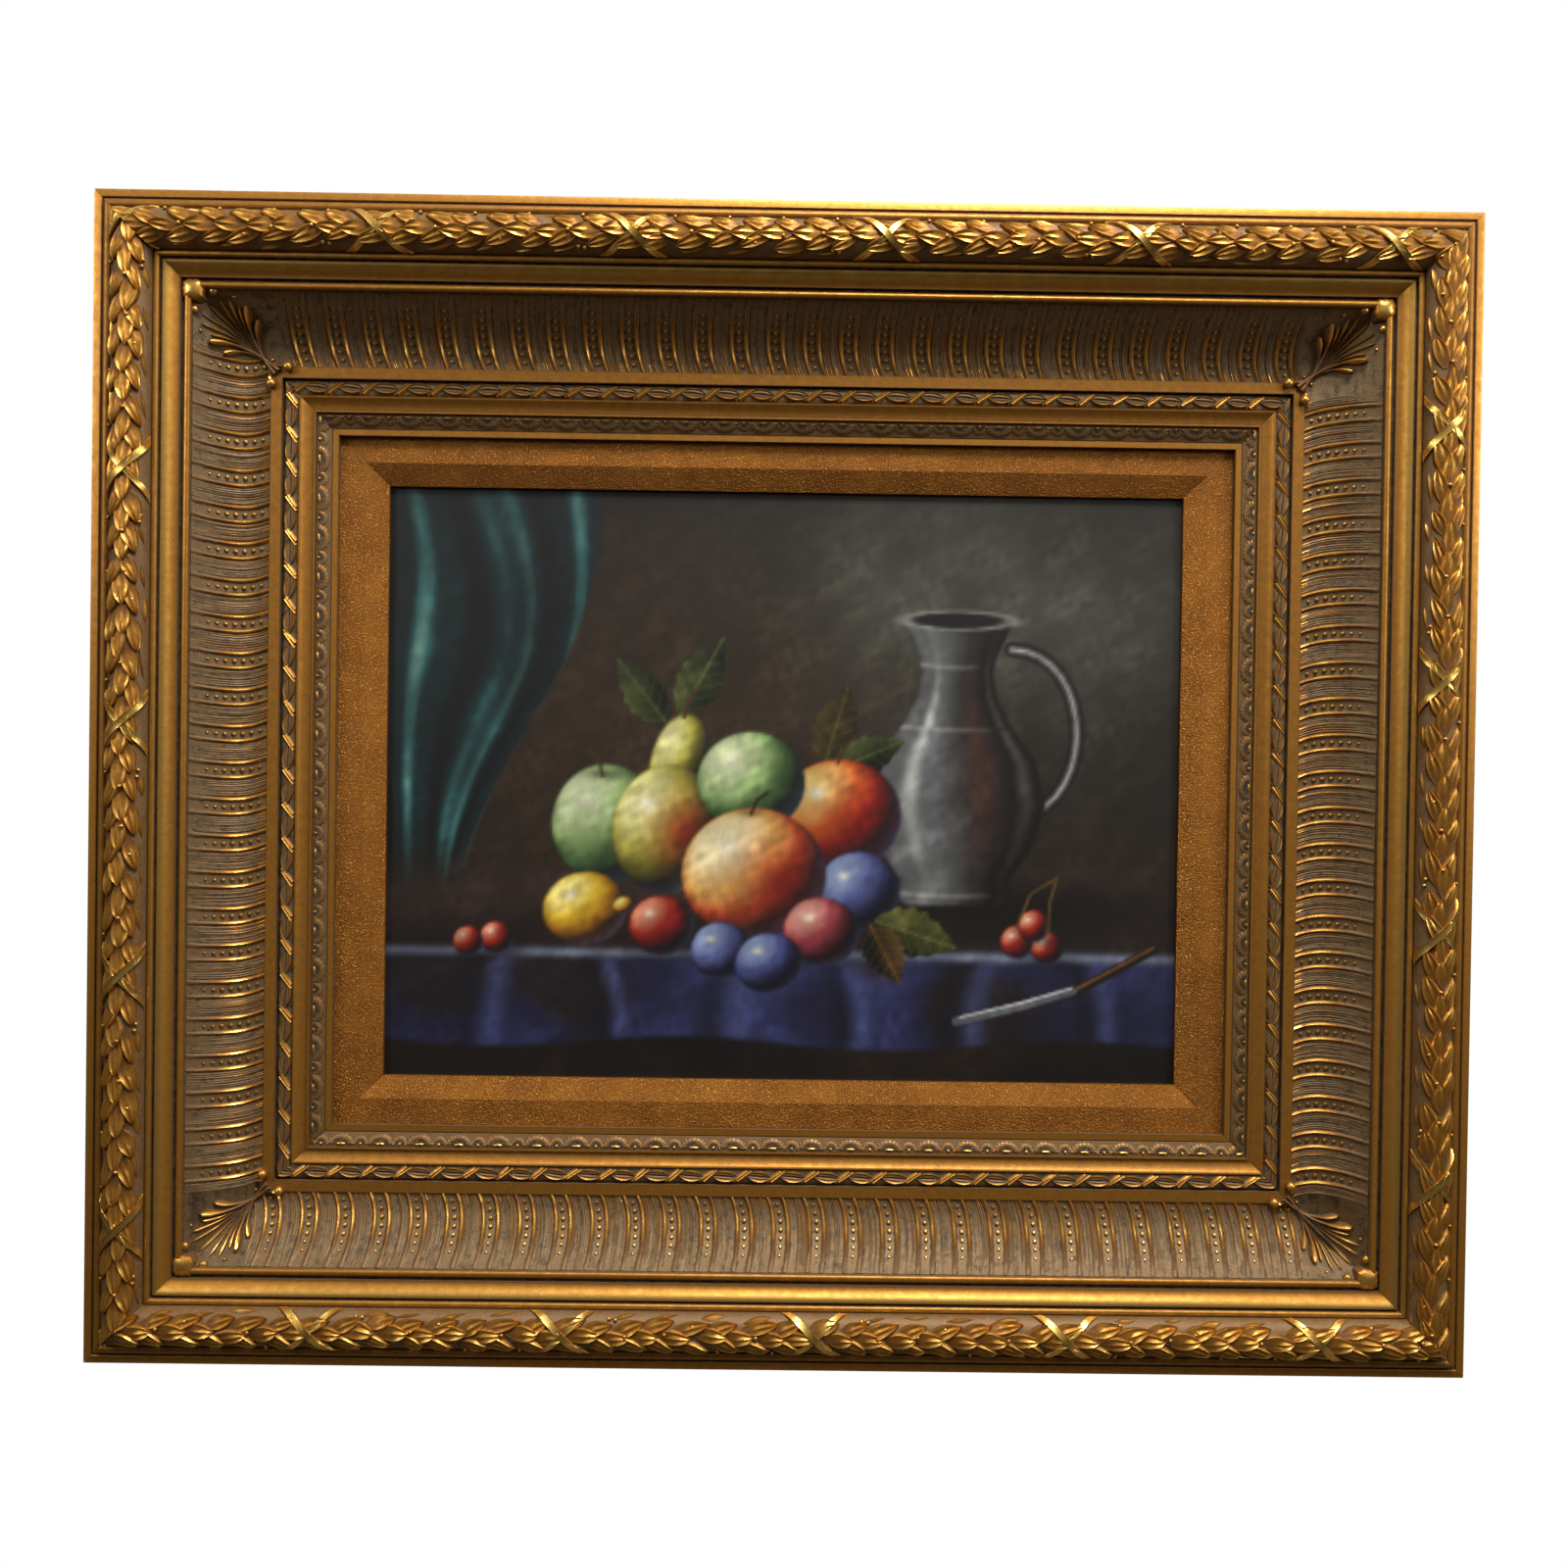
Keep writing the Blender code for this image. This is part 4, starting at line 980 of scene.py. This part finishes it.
def inner_rail(side):
    half_along = half_lengths(side)[0]
    reach = half_along + RAIL_WIDTH - LUG[0]
    chance = np.random.default_rng(200 + SIDES[side][0])
    bm = extruded(inner_outline(), reach)
    for face in bm.faces:
        spot = face.calc_center_median()
        face.material_index = 1 if spot.z < INNER_UNDER + EDGE_INSET or spot.y < TWIST[0] - RAIL_WIDTH else 0
    add_twist(bm, side, reach, chance)
    add_fans(bm, side, reach, chance)
    mitre(bm, half_along)
    settle(bm, "gilt_inner_rail_" + side, stand_rail(side), (rail_gilt, rail_back_wood),
           "inner_rail_" + side)


for side in SIDES:
    inner_rail(side)

# %% [markdown]
# ## Corner sprays
# A cast spray covers the mitre of the cove in each corner: two drop-shaped balls, a fountain of
# club-shaped fronds that bend outward from the mitre, and a little shell on the bead above. Each
# frond is one stamp bent along a curve and laid over the moulding, so it follows the hollow below.


# %% Fronds on a curve
def frond_rule(x, y):
    """A thin stem that swells into a rounded club at its tip."""
    along = (x + 1) / 2
    outline = 0.50 + 0.04 * along + 0.46 * smooth_step((along - 0.68) / 0.19)
    if along > 0.86:
        outline *= math.sqrt(max(1 - ((along - 0.86) / 0.14) ** 2, 0.03))
    height = (1.0, 0.86, 0.08)[round(abs(y) * 2)] * (0.60 + 0.40 * smooth_step((along - 0.5) / 0.3))
    return along, y * outline, height * (0.45 if along > 0.99 else 1.0)


bm, top, low = slab(18, 4)
FROND = new_stamp("spray_frond", shaped(bm, top, low, frond_rule, 0.35), lambda co: 0.06 + 0.92 * max(co.z, 0) ** 3)


def face_height(x, y):
    """Height of the outer moulding's face near a corner; x and y are distances outward."""
    across = RAIL_WIDTH - np.maximum(x, y)
    share = np.clip((across - COVE_START) / COVE_WIDTH, 0, 1)
    height = np.where(across > COVE_END, FILLET_TOP, COVE_FOOT + COVE_RISE * (1 - share) ** 2)
    bead = (across - sum(COVE_BEAD) / 2) / ((COVE_BEAD[1] - COVE_BEAD[0]) / 2)
    crest = COVE_BEAD_BASE + 1.7 * MM * np.sqrt(np.clip(1 - bead ** 2, 0, 1))
    return np.where(across < COVE_START, np.maximum(crest, height), height)


def on_curve(stamp, curve, width, lift, mirrored):
    """Bend a stamp along a curve of three points, given in mm outward from the flat's corner."""
    corner = (RAIL_WIDTH - OUTER_END) / MM
    start, pull, end = (np.array(point) + corner for point in curve)
    t = stamp[1][:, 0:1]
    spine = start * (1 - t) ** 2 + pull * 2 * t * (1 - t) + end * t ** 2
    ahead = 2 * (1 - t) * (pull - start) + 2 * t * (end - pull)
    ahead = ahead / np.hypot(ahead[:, 0:1], ahead[:, 1:2])
    side_step = np.column_stack((-ahead[:, 1], ahead[:, 0])) * stamp[1][:, 1:2] * width / 2
    x, y = ((spine + side_step) * MM).T
    if mirrored:
        x, y = y, x
    return np.column_stack((x, y, face_height(x, y) + stamp[1][:, 2] * lift * MM))


# %% The fronds, balls and shell of a spray, in mm from the corner of the flat
FRONDS = (
    (((1.0, 3.6), (15.5, 15.2), (25.5, 8.4)), 2.9, 2.9),
    (((1.6, 3.2), (17.8, 17.4), (30.6, 12.6)), 4.1, 3.8),
    (((2.0, 2.8), (18.0, 18.2), (30.0, 16.4)), 2.1, 2.2),
    (((2.2, 3.0), (18.4, 18.6), (33.0, 20.6)), 2.0, 1.9),
    (((2.5, 3.0), (19.0, 19.2), (33.0, 25.4)), 1.8, 1.6),
    (((7.0, 6.0), (2.0, 6.0), (-3.0, 5.0)), 4.2, 3.0),
)
bm = bmesh.new()
bmesh.ops.create_uvsphere(bm, u_segments=20, v_segments=8, radius=1)
for vert in bm.verts:
    angle = math.atan2(vert.co.y, vert.co.x)
    spread = (abs(math.cos(angle)) ** 4 + abs(math.sin(angle)) ** 4) ** -0.25
    spread *= 1.0 if round(angle / math.tau * 20) % 2 else 0.90
    if -0.95 < vert.co.z < -0.01:
        spread /= math.hypot(vert.co.x, vert.co.y)
    vert.co.xy *= spread
SHELL = new_stamp("shell", bm, lambda co: 0.22 + 0.70 * max(co.z, 0))
SPRAY_BALLS = (
    ((-3.2, 4.9), (2.5, 2.6, 2.3), 1.4), ((8.5, 4.8), (0.8, 0.8, 0.7), 0.3), ((33.6, 17.6), (0.8, 0.8, 0.8), 0.3),
    ((35.4, 26.6), (2.1, 2.1, 1.8), 0.6),
)


SHELL_SPOT, SHELL_SIZE, SHELL_LIFT = 35.4, (5.4, 5.4, 2.8), 2.4


def corner_spray(corner):
    bm = bmesh.new()
    bm.verts.layers.float.new("gilding")
    base = (RAIL_WIDTH - OUTER_END) / MM
    for mirrored in (False, True):
        for curve, width, lift in FRONDS:
            press(bm, FROND, on_curve(FROND, curve, width, lift, mirrored))
        for spot, sizes, lift in SPRAY_BALLS:
            place = (np.array(spot) + base) * MM
            if mirrored:
                place, sizes = place[::-1], (sizes[1], sizes[0], sizes[2])
            points = BERRY[1] * np.array(sizes) * MM
            points += (*place, float(face_height(*place)) + lift * MM)
            press(bm, BERRY, points)
    press(bm, FROND, on_curve(FROND, ((2.0, 2.0), (16, 16), (31, 31)), 2.4, 1.7, False))
    place = (SHELL_SPOT + base) * MM
    points = SHELL[1] * np.array(SHELL_SIZE) * MM
    points[:, 2] *= np.where(points[:, 2] < 0, 2, 1)
    press(bm, SHELL, points + (place, place, float(face_height(place, place)) + SHELL_LIFT * MM))
    turn = math.radians(CORNERS[corner])
    place = Vector((0, 0, CENTRE_Z))
    place.x = SIGHT_WIDTH / 2 * (1 if corner.endswith("right") else -1)
    place.z += SIGHT_HEIGHT / 2 * (1 if corner.startswith("top") else -1)
    stand = Matrix.Translation(place) @ Euler((math.pi / 2, turn, 0)).to_matrix().to_4x4()
    settle(bm, "palmette_" + corner, stand, (casting_gilt,), "corner_spray_" + corner)


for corner in CORNERS:
    corner_spray(corner)

# %% [markdown]
# ## The painting
# The picture is a still life in the manner of old kitchen pieces, made up here: a pewter jug, pears,
# apples, lemons and plums on a table with a blue cloth, and a green curtain. We paint it as a painter
# does, from the back to the front. The canvas is a fine grid of points, each with its own colour; a
# form is a mask with soft borders, shaded by how far its surface turns to the light from the upper
# left. Distances are in mm from the middle of the picture.

# %% An unpainted canvas and the painter's strokes
PAINT_COLUMNS, PAINT_ROWS = 328, 246
canvas_size = canvas_high - canvas_low
right, up = np.meshgrid(np.linspace(-0.5, 0.5, PAINT_COLUMNS + 1), np.linspace(-0.5, 0.5, PAINT_ROWS + 1))
right, up = right * canvas_size.x / MM, up * canvas_size.z / MM
picture = np.zeros((*right.shape, 3))
SUN = np.array((-0.50, 0.52, 0.69))


def tone(red, green, blue):
    return np.array(paint_tone(red, green, blue))


def lay(mask, colour):
    """Lay a colour over the picture; the mask says how thickly, from 0 to 1."""
    picture[:] = picture * (1 - mask[..., None]) + colour * mask[..., None]


def soft(distance, width=1.8):
    """1 inside a border and 0 outside, with a border some mm wide."""
    return np.clip(0.5 - distance / width, 0, 1)


def clouds(size, seed, stretch=1.0):
    """Soft patches from 0 to 1, the sum of many slow waves."""
    chance = np.random.default_rng(seed)
    total = np.zeros_like(right)
    for _ in range(26):
        turn, phase = chance.uniform(0, 2 * math.pi, 2)
        scale = size * chance.uniform(0.35, 1.5)
        total += np.sin((right * math.cos(turn) / stretch + up * math.sin(turn)) / scale + phase)
    return np.clip(0.5 + total / 14, 0, 1)


def between(share, *colours):
    """Blend through a row of colours as the share goes from 0 to 1."""
    place = np.clip(share, 0, 1) * (len(colours) - 1)
    stack = np.array(colours)
    step = np.minimum(place.astype(int), len(colours) - 2)
    part = (place - step)[..., None]
    return stack[step] * (1 - part) + stack[step + 1] * part


def turned_axes(x, z, turn):
    across, rise = right - x, up - z
    c, s = math.cos(math.radians(turn)), math.sin(math.radians(turn))
    return across * c + rise * s, -across * s + rise * c


# %% Round fruit, leaves, thin strokes and soft shadows
def fruit(x, z, wide, tall, turn, colours, glint=0.8, blush=None, bloom=0.0):
    """An egg-shaped form with light from the upper left and a cool rim of light below."""
    u, v = turned_axes(x, z, turn)
    u, v = u / wide, v / tall
    out = np.hypot(u, v)
    mask = soft((out - 1) * min(wide, tall))
    c, s = math.cos(math.radians(turn)), math.sin(math.radians(turn))
    front = np.sqrt(np.clip(1 - out ** 2, 0, 1))
    nx, nz = u * c - v * s, u * s + v * c
    shine = np.clip(nx * SUN[0] + nz * SUN[1] + front * SUN[2], 0, 1)
    colour = between(shine ** 1.15 + 0.05 * (clouds(3.0, int(x + 500)) - 0.5), *colours)
    if blush is not None:
        where = np.exp(-((nx - 0.35) ** 2 + (nz + 0.05) ** 2) / 0.30)[..., None] * 0.8
        colour = colour * (1 - where) + between(shine, *blush) * where
    rim = np.clip(out, 0, 1) ** 6 * np.clip(nx * 0.6 - nz * 0.6, 0, 1)
    colour = colour + (rim * 0.30)[..., None] * tone(84, 96, 132) * 2
    veil = (bloom * np.clip(shine * 1.3 - 0.2, 0, 1))[..., None]
    colour = colour * (1 - veil) + tone(150, 168, 205) * veil
    lay(mask, colour)
    spot = np.exp(-((nx + 0.36) ** 2 * 1.4 + (nz - 0.40) ** 2 * 2.2) / 0.030)
    lay(mask * spot * glint, tone(246, 244, 226))


def leaf(x, z, length, width, turn, deep, light):
    """A pointed leaf with a midrib and side veins; it starts at x, z."""
    u, v = turned_axes(x, z, turn)
    u, v = u / length, v / (width / 2)
    inside = (u > 0) & (u < 1)
    outline = np.sin(math.pi * np.clip(u, 0, 1) ** 0.8) * (1 + 0.07 * np.sin(u * 38))
    mask = soft((np.abs(v) - outline) * width / 2, 1.4) * inside
    veins = np.exp(-(((u * 7 - np.abs(v) * 1.3) % 1 - 0.5) / 0.10) ** 2) * 0.35 + np.exp(-(v / 0.07) ** 2) * 0.9
    body = np.clip(0.35 + 0.45 * np.clip(v, -1, 1) + 0.45 * (clouds(5, int(x + 300)) - 0.5), 0, 1)
    lay(mask, between(body, deep, (deep + light) / 2.6, light))
    lay(mask * veins * 0.55, light * 1.15)


def stroke(points, width, colour, thickness=1.0):
    """A line through some points with a round brush."""
    nearest = np.full(right.shape, 1e9)
    for (x0, z0), (x1, z1) in zip(points, points[1:]):
        dx, dz = x1 - x0, z1 - z0
        t = np.clip(((right - x0) * dx + (up - z0) * dz) / (dx * dx + dz * dz), 0, 1)
        nearest = np.minimum(nearest, np.hypot(right - x0 - t * dx, up - z0 - t * dz))
    lay(soft(nearest - width / 2, 1.3) * thickness, colour)


def shadow(x, z, wide, tall, depth=0.75):
    out = np.hypot((right - x) / wide, (up - z) / tall)
    lay(np.clip(1.25 - out, 0, 1) * depth, tone(20, 15, 14))


# %% Wall, table, cloth and curtain
EDGE_LINE = -86
far_glow = np.exp(-(((right - 105) / 105) ** 2 + ((up - 96) / 74) ** 2))
left_glow = np.exp(-(((right + 60) / 120) ** 2 + ((up - 20) / 90) ** 2))
lay(np.ones_like(right), between(0.2 + 0.6 * clouds(34, 5), tone(36, 29, 23), tone(66, 51, 38)))
lay(far_glow * (0.45 + 0.55 * clouds(16, 7)), tone(104, 108, 100))
lay(left_glow * 0.45, tone(86, 68, 48))
table = soft(up + 44, 16)
lay(table, between(clouds(16, 9, 4.0), tone(40, 30, 26), tone(86, 68, 62)))
front = soft(up - EDGE_LINE, 1.6)
cloth_waves = clouds(9, 11)
lay(front, between(clouds(26, 13), tone(48, 40, 46), tone(52, 54, 92), tone(72, 76, 124), tone(74, 62, 70)))
for x, lean, wide in ((-150, 6, 7), (-96, -8, 5), (-30, 5, 8), (24, -7, 6), (92, 8, 7), (148, -5, 6)):
    fold = (right - x - lean * np.sin((up - EDGE_LINE) / 22)) / wide
    lay(front * np.exp(-fold ** 2) * 0.62, tone(26, 24, 40))
    lay(front * np.exp(-(fold - 1.7) ** 2 * 1.4) * 0.42, tone(112, 122, 176))
lay(soft(up + 128 + 3 * np.sin(right / 31), 3), between(clouds(20, 15), tone(24, 20, 19), tone(52, 40, 32)))
lip = np.exp(-((up - EDGE_LINE - 2.2) / 2.3) ** 2)
lay(lip * (0.55 + 0.35 * clouds(20, 17)), tone(158, 170, 196))
border = -118 + 26 * np.sin((up - 40) / 62) - np.clip(60 - up, 0, 200) * 0.16
drape = soft(right - border, 3.0) * soft(-(up + 40), 26)
sweep = (right + 203) / (border + 203)
sweep = sweep * 3.3 + 0.30 * np.sin(4.6 * sweep + 0.8) + 0.13 * np.sin(up / 27 + 3 * sweep) + up / 300
pleat = 0.5 + 0.36 * np.sin(sweep * 2 * math.pi) + 0.14 * np.sin(sweep * 5 * math.pi + 1)
lit = pleat ** 1.5 * (0.35 + 0.75 * clouds(20, 19))
lay(drape, between(lit, tone(12, 24, 27), tone(30, 66, 70), tone(66, 122, 124), tone(140, 186, 178)))
lay(drape * np.exp(-((pleat - 0.88) / 0.10) ** 2) * 0.30 * clouds(9, 21), tone(128, 168, 160))

# %% The jug and its handle
JUG_X = 86
jug_heights = (-58, -54, -46, -30, -8, 14, 32, 46, 58, 66, 78, 84)
jug_halves = (25, 30, 27, 38, 45, 40, 27, 20, 18, 19.5, 25, 28)
shadow(JUG_X + 22, -58, 66, 15)
for wide, colour in ((8, tone(38, 34, 34)), (4.2, tone(96, 94, 94)), (1.4, tone(176, 178, 176))):
    stroke([(112 + 34 * math.sin(a) ** 0.9, 28 + 42 * math.cos(a)) for a in np.linspace(0.02, 3.0, 16)], wide, colour)
half = np.interp(up, jug_heights, jug_halves)
round_place = (right - JUG_X) / half
body = soft((np.abs(round_place) - 1) * half) * soft(-(up + 58)) * soft(up - 84 - 2.5 * round_place ** 2)
glow = np.clip(0.72 - 0.85 * round_place - 0.9 * np.abs(round_place) ** 4, 0, 1) * (0.8 + 0.3 * clouds(9, 23))
lay(body, between(glow, tone(24, 21, 22), tone(62, 60, 62), tone(122, 124, 126)))
for centre, wide, colour, much in (
    (-0.52, 0.10, tone(222, 226, 224), 0.75), (-0.30, 0.16, tone(140, 146, 150), 0.40),
    (0.80, 0.08, tone(130, 120, 118), 0.45), (0.30, 0.20, tone(120, 66, 34), 0.35),
):
    streak = np.exp(-((round_place - centre) / wide) ** 2) * np.clip(0.55 + 0.45 * np.sin((up + 20) / 21), 0, 1)
    lay(body * streak * much, colour)
for height in (-52, 31, 62, 83):
    ring = np.exp(-((up - height - 1.5 * (1 - round_place ** 2) * -1) / 1.2) ** 2)
    lay(body * ring * 0.5, between(glow, tone(30, 26, 26), tone(190, 192, 190)))
mouth = np.hypot((right - JUG_X) / 27, (up - 84) / 4.5)
lay(soft((mouth - 1) * 4.5, 1.4), tone(30, 25, 23))
lay(np.exp(-((mouth - 1) / 0.16) ** 2) * 0.6, tone(168, 168, 162))

# %% Fruit from the back to the front, leaves and a knife
APPLE = (tone(44, 12, 10), tone(138, 34, 22), tone(206, 112, 52), tone(240, 214, 140))
RED_CHEEK = (tone(60, 10, 10), tone(158, 30, 22), tone(214, 96, 50))
PEAR = (tone(38, 36, 14), tone(116, 112, 44), tone(192, 186, 96), tone(238, 236, 178))
GREEN = (tone(26, 38, 22), tone(86, 116, 72), tone(160, 184, 130), tone(226, 236, 196))
LEMON = (tone(66, 40, 8), tone(170, 122, 22), tone(224, 190, 62), tone(250, 240, 160))
PLUM = (tone(12, 10, 26), tone(38, 36, 84), tone(82, 84, 150), tone(170, 184, 220))
WINE = (tone(28, 6, 10), tone(104, 20, 26), tone(176, 56, 44), tone(236, 170, 140))
LEAF_DEEP, LEAF_LIGHT = tone(20, 30, 18), tone(112, 122, 70)
leaf(-58, 30, 42, 20, 128, LEAF_DEEP, LEAF_LIGHT)
leaf(-52, 34, 46, 22, 62, LEAF_DEEP, LEAF_LIGHT)
leaf(20, 10, 44, 22, 74, LEAF_DEEP, tone(120, 104, 52))
leaf(24, 8, 40, 20, 24, LEAF_DEEP, LEAF_LIGHT)
shadow(-10, -74, 120, 20, 0.7)
fruit(-88, -20, 27, 30, 0, GREEN, 0.6)
fruit(-52, 12, 14, 24, -14, PEAR, 0.0)
lay(0.75 * np.exp(-(((right + 90) / 7) ** 2 + ((up - 5) / 2.6) ** 2)), tone(34, 42, 20))
stroke(((-90, 4), (-92, 12), (-97, 17)), 1.8, tone(92, 70, 42))
fruit(-58, -22, 27, 32, -8, PEAR, 0.8, RED_CHEEK)
fruit(28, -14, 31, 28, 4, APPLE, 0.8, RED_CHEEK)
fruit(-16, 2, 27, 25, 0, GREEN, 0.8)
fruit(38, -52, 21, 20, 8, PLUM, 0.7, None, 0.35)
fruit(-14, -44, 36, 33, 0, (tone(66, 26, 14), tone(178, 82, 46), tone(228, 186, 112), tone(248, 240, 202)),
      0.7, RED_CHEEK)
stroke(((-50, 34), (-48, 42), (-43, 49)), 2.0, tone(98, 74, 42))
stroke(((27, 12), (30, 20), (36, 26)), 1.8, tone(88, 62, 36))
lay(0.7 * np.exp(-(((right + 16) / 7) ** 2 + ((up + 13) / 2.4) ** 2)), tone(92, 40, 20))
stroke(((-16, -14), (-13, -7), (-8, -3)), 1.6, tone(60, 40, 24))
fruit(-98, -62, 21, 18, 12, LEMON, 0.8)
fruit(-79, -60, 5, 4, 20, LEMON, 0.2)
fruit(-60, -70, 16, 15, 0, WINE, 0.8)
fruit(20, -72, 19, 17, -10, WINE, 0.8, None, 0.2)
fruit(-30, -82, 15, 14, 0, PLUM, 0.8, None, 0.45)
fruit(-6, -88, 17, 15, 12, PLUM, 0.8, None, 0.25)
leaf(46, -66, 44, 24, -18, LEAF_DEEP, tone(130, 132, 74))
leaf(44, -68, 34, 20, -62, LEAF_DEEP, tone(140, 108, 52))
for x, z, size in ((118, -76, 8.5), (133, -79, 8), (126, -68, 8), (-142, -77, 8), (-156, -79, 7.5)):
    shadow(x + 5, z - 7, 13, 4, 0.6)
    fruit(x, z, size, size, 0, WINE, 0.9)
stroke(((118, -68), (124, -52), (137, -44)), 1.1, tone(120, 96, 48))
stroke(((133, -71), (134, -56), (137, -44)), 1.1, tone(120, 96, 48))
stroke(((146, -101), (170, -88), (186, -79)), 5.0, tone(52, 36, 26))
stroke(((148, -99), (170, -87), (186, -78)), 1.2, tone(148, 112, 74))
stroke(((88, -116), (120, -108), (146, -100)), 4.2, tone(120, 124, 130))
stroke(((90, -114), (120, -106.5), (145, -99)), 0.9, tone(226, 230, 232))
picture *= 0.74 + 0.30 * (clouds(2.2, 41) * clouds(6, 43))[..., None] * 2
edge_shade = np.clip((np.abs(right) / 203) ** 4 * 0.35 + (np.abs(up) / 152) ** 5 * 0.40, 0, 0.6)
lay(edge_shade, tone(14, 11, 10))
picture[:] = 0.98 * picture ** 1.25
print("painted", picture.shape[0] * picture.shape[1], "points, mean light", picture.mean(axis=(0, 1)).round(3))


# %% [markdown]
# ### Paint, varnish and cloth
# The painted colour is broken by fine bristle marks and the weave under it, and an oil picture has a
# thin clear varnish, which is the coat of the shader. The cloth wraps round the stretcher's sides,
# so the piece is a shallow open box of cloth, 0.7 mm thick, with raw linen on the inside.


# %% The canvas piece
def oil_paint():
    material, tree, shader = new_material("varnished_oil_paint")
    place = add_node(tree, "ShaderNodeTexCoord").outputs["Object"]
    colour = add_node(tree, "ShaderNodeAttribute", attribute_name="paint").outputs["Color"]
    bristle = noise(tree, stretched(tree, place, (1.0, 1.0, 0.35)), 620.0, 4.0, 0.6)
    dabs = noise(tree, stretched(tree, place, (0.6, 1.0, 1.0)), 150.0, 2.0, 0.5)
    broken = span(tree, maths(tree, "ADD", maths(tree, "MULTIPLY", bristle, 0.6), maths(tree, "MULTIPLY", dabs, 0.4)),
                  0.72, 1.28)
    colour = mix(tree, 1.0, colour, broken, "MULTIPLY")
    tree.links.new(colour, shader.inputs["Base Color"])
    shader.inputs["Roughness"].default_value = 0.50
    shader.inputs["Coat Weight"].default_value = 0.25
    shader.inputs["Coat Roughness"].default_value = 0.30
    threads = []
    for axis in ("X", "Z"):
        wave = {"Vector": place, "Scale": 330.0, "Distortion": 0.4, "Detail": 1.0}
        threads.append(add_node(tree, "ShaderNodeTexWave", wave, bands_direction=axis).outputs["Fac"])
    weave = maths(tree, "MAXIMUM", threads[0], threads[1])
    height = maths(tree, "ADD", maths(tree, "MULTIPLY", bristle, 0.8), maths(tree, "MULTIPLY", weave, 0.2))
    bump = add_node(tree, "ShaderNodeBump", {"Height": height, "Strength": 0.22, "Distance": 0.0003})
    tree.links.new(bump.outputs["Normal"], shader.inputs["Normal"])
    return material


CLOTH = 0.7 * MM
bm = bmesh.new()
layer = bm.verts.layers.float_vector.new("colour")
bmesh.ops.create_grid(bm, x_segments=PAINT_COLUMNS, y_segments=PAINT_ROWS, size=0.5)
bmesh.ops.scale(bm, verts=bm.verts, vec=(canvas_size.x, canvas_size.z, 1))
for vert in bm.verts:
    column = round((vert.co.x / canvas_size.x + 0.5) * PAINT_COLUMNS)
    row = round((vert.co.y / canvas_size.z + 0.5) * PAINT_ROWS)
    vert[layer] = picture[row, column]
inner_width = 1 - 2 * CLOTH / canvas_size.x
inner_height = 1 - 2 * CLOTH / canvas_size.z
for back, shrink in ((-canvas_size.y, (1, 1)), (0, (inner_width, inner_height)), (canvas_size.y - CLOTH, (1, 1))):
    rim = [edge for edge in bm.edges if edge.is_boundary]
    grown = bmesh.ops.extrude_edge_only(bm, edges=rim)["geom"]
    moved = [item for item in grown if isinstance(item, bmesh.types.BMVert)]
    bmesh.ops.scale(bm, verts=moved, vec=(*shrink, 1))
    bmesh.ops.translate(bm, verts=moved, vec=(0, 0, back))
    if back >= 0:
        for item in grown:
            if isinstance(item, bmesh.types.BMFace):
                item.material_index = 1
rim = [edge for edge in bm.edges if edge.is_boundary]
bmesh.ops.contextual_create(bm, geom=rim, mat_nr=1)
stand = Matrix.Translation((0, canvas_low.y, CENTRE_Z)) @ Euler((math.pi / 2, 0, 0)).to_matrix().to_4x4()
oil = oil_paint()
canvas = settle(bm, "painted_picture", stand, (oil, linen), "canvas")
read_back = np.empty(len(canvas.data.vertices) * 3, "f")
canvas.data.attributes["colour"].data.foreach_get("vector", read_back)
pigment = np.ones((len(canvas.data.vertices), 4), "f")
pigment[:, :3] = read_back.reshape(-1, 3)
canvas.data.attributes.new("paint", "FLOAT_COLOR", "POINT").data.foreach_set("color", pigment.ravel())
canvas.data.attributes.remove(canvas.data.attributes["colour"])

# %% [markdown]
# ## Liner and stretcher
# The liner is a plain bar with a sloping bevel, sanded and gilt on its face and bare behind. The
# stretcher bars are right as they stand in the solid model, so they keep their shape and only get
# pine, with the grain running along each bar.

# %% The four liner bars
LINER_START = 107.0 * MM
LINER_TOP = 25.0 * MM
LINER_UNDER = 17.8 * MM
LINER_LIP = 2.2 * MM
LINER_BACK = 8.0 * MM
LINER_TUCK = 5.2 * MM
BEVEL_START = 119.4 * MM
CANVAS_ROOM = 1.0 * MM


def liner_bar(side):
    wall = RAIL_WIDTH - LINER_COVER - CANVAS_ROOM
    bm = extruded((
        (LINER_START - LINER_TUCK, LINER_BACK, 0), (LINER_START - LINER_TUCK, LINER_TOP, 0),
        (BEVEL_START, LINER_TOP, 0), (RAIL_WIDTH, LINER_UNDER + LINER_LIP, 0), (RAIL_WIDTH, LINER_UNDER, 0),
        (wall, LINER_UNDER, 0), (wall, LINER_BACK, 0),
    ), half_lengths(side)[0] + RAIL_WIDTH - LINER_START + LINER_TUCK)
    bm.normal_update()
    for face in bm.faces:
        spot = face.calc_center_median()
        face.material_index = 0 if spot.z > LINER_UNDER and spot.y > LINER_START - LINER_TUCK - RAIL_WIDTH else 1
    mitre(bm, half_lengths(side)[0])
    settle(bm, "gilt_liner_" + side, stand_rail(side), (liner_gold, rail_back_wood),
           "liner_" + side, SHARP / 3)


for side in SIDES:
    liner_bar(side)

# %% Finish the stretcher
for name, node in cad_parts.items():
    if name.startswith("stretcher"):
        for place in node.material_slots:
            place.material = stretcher_pine[name.split("_")[1]]
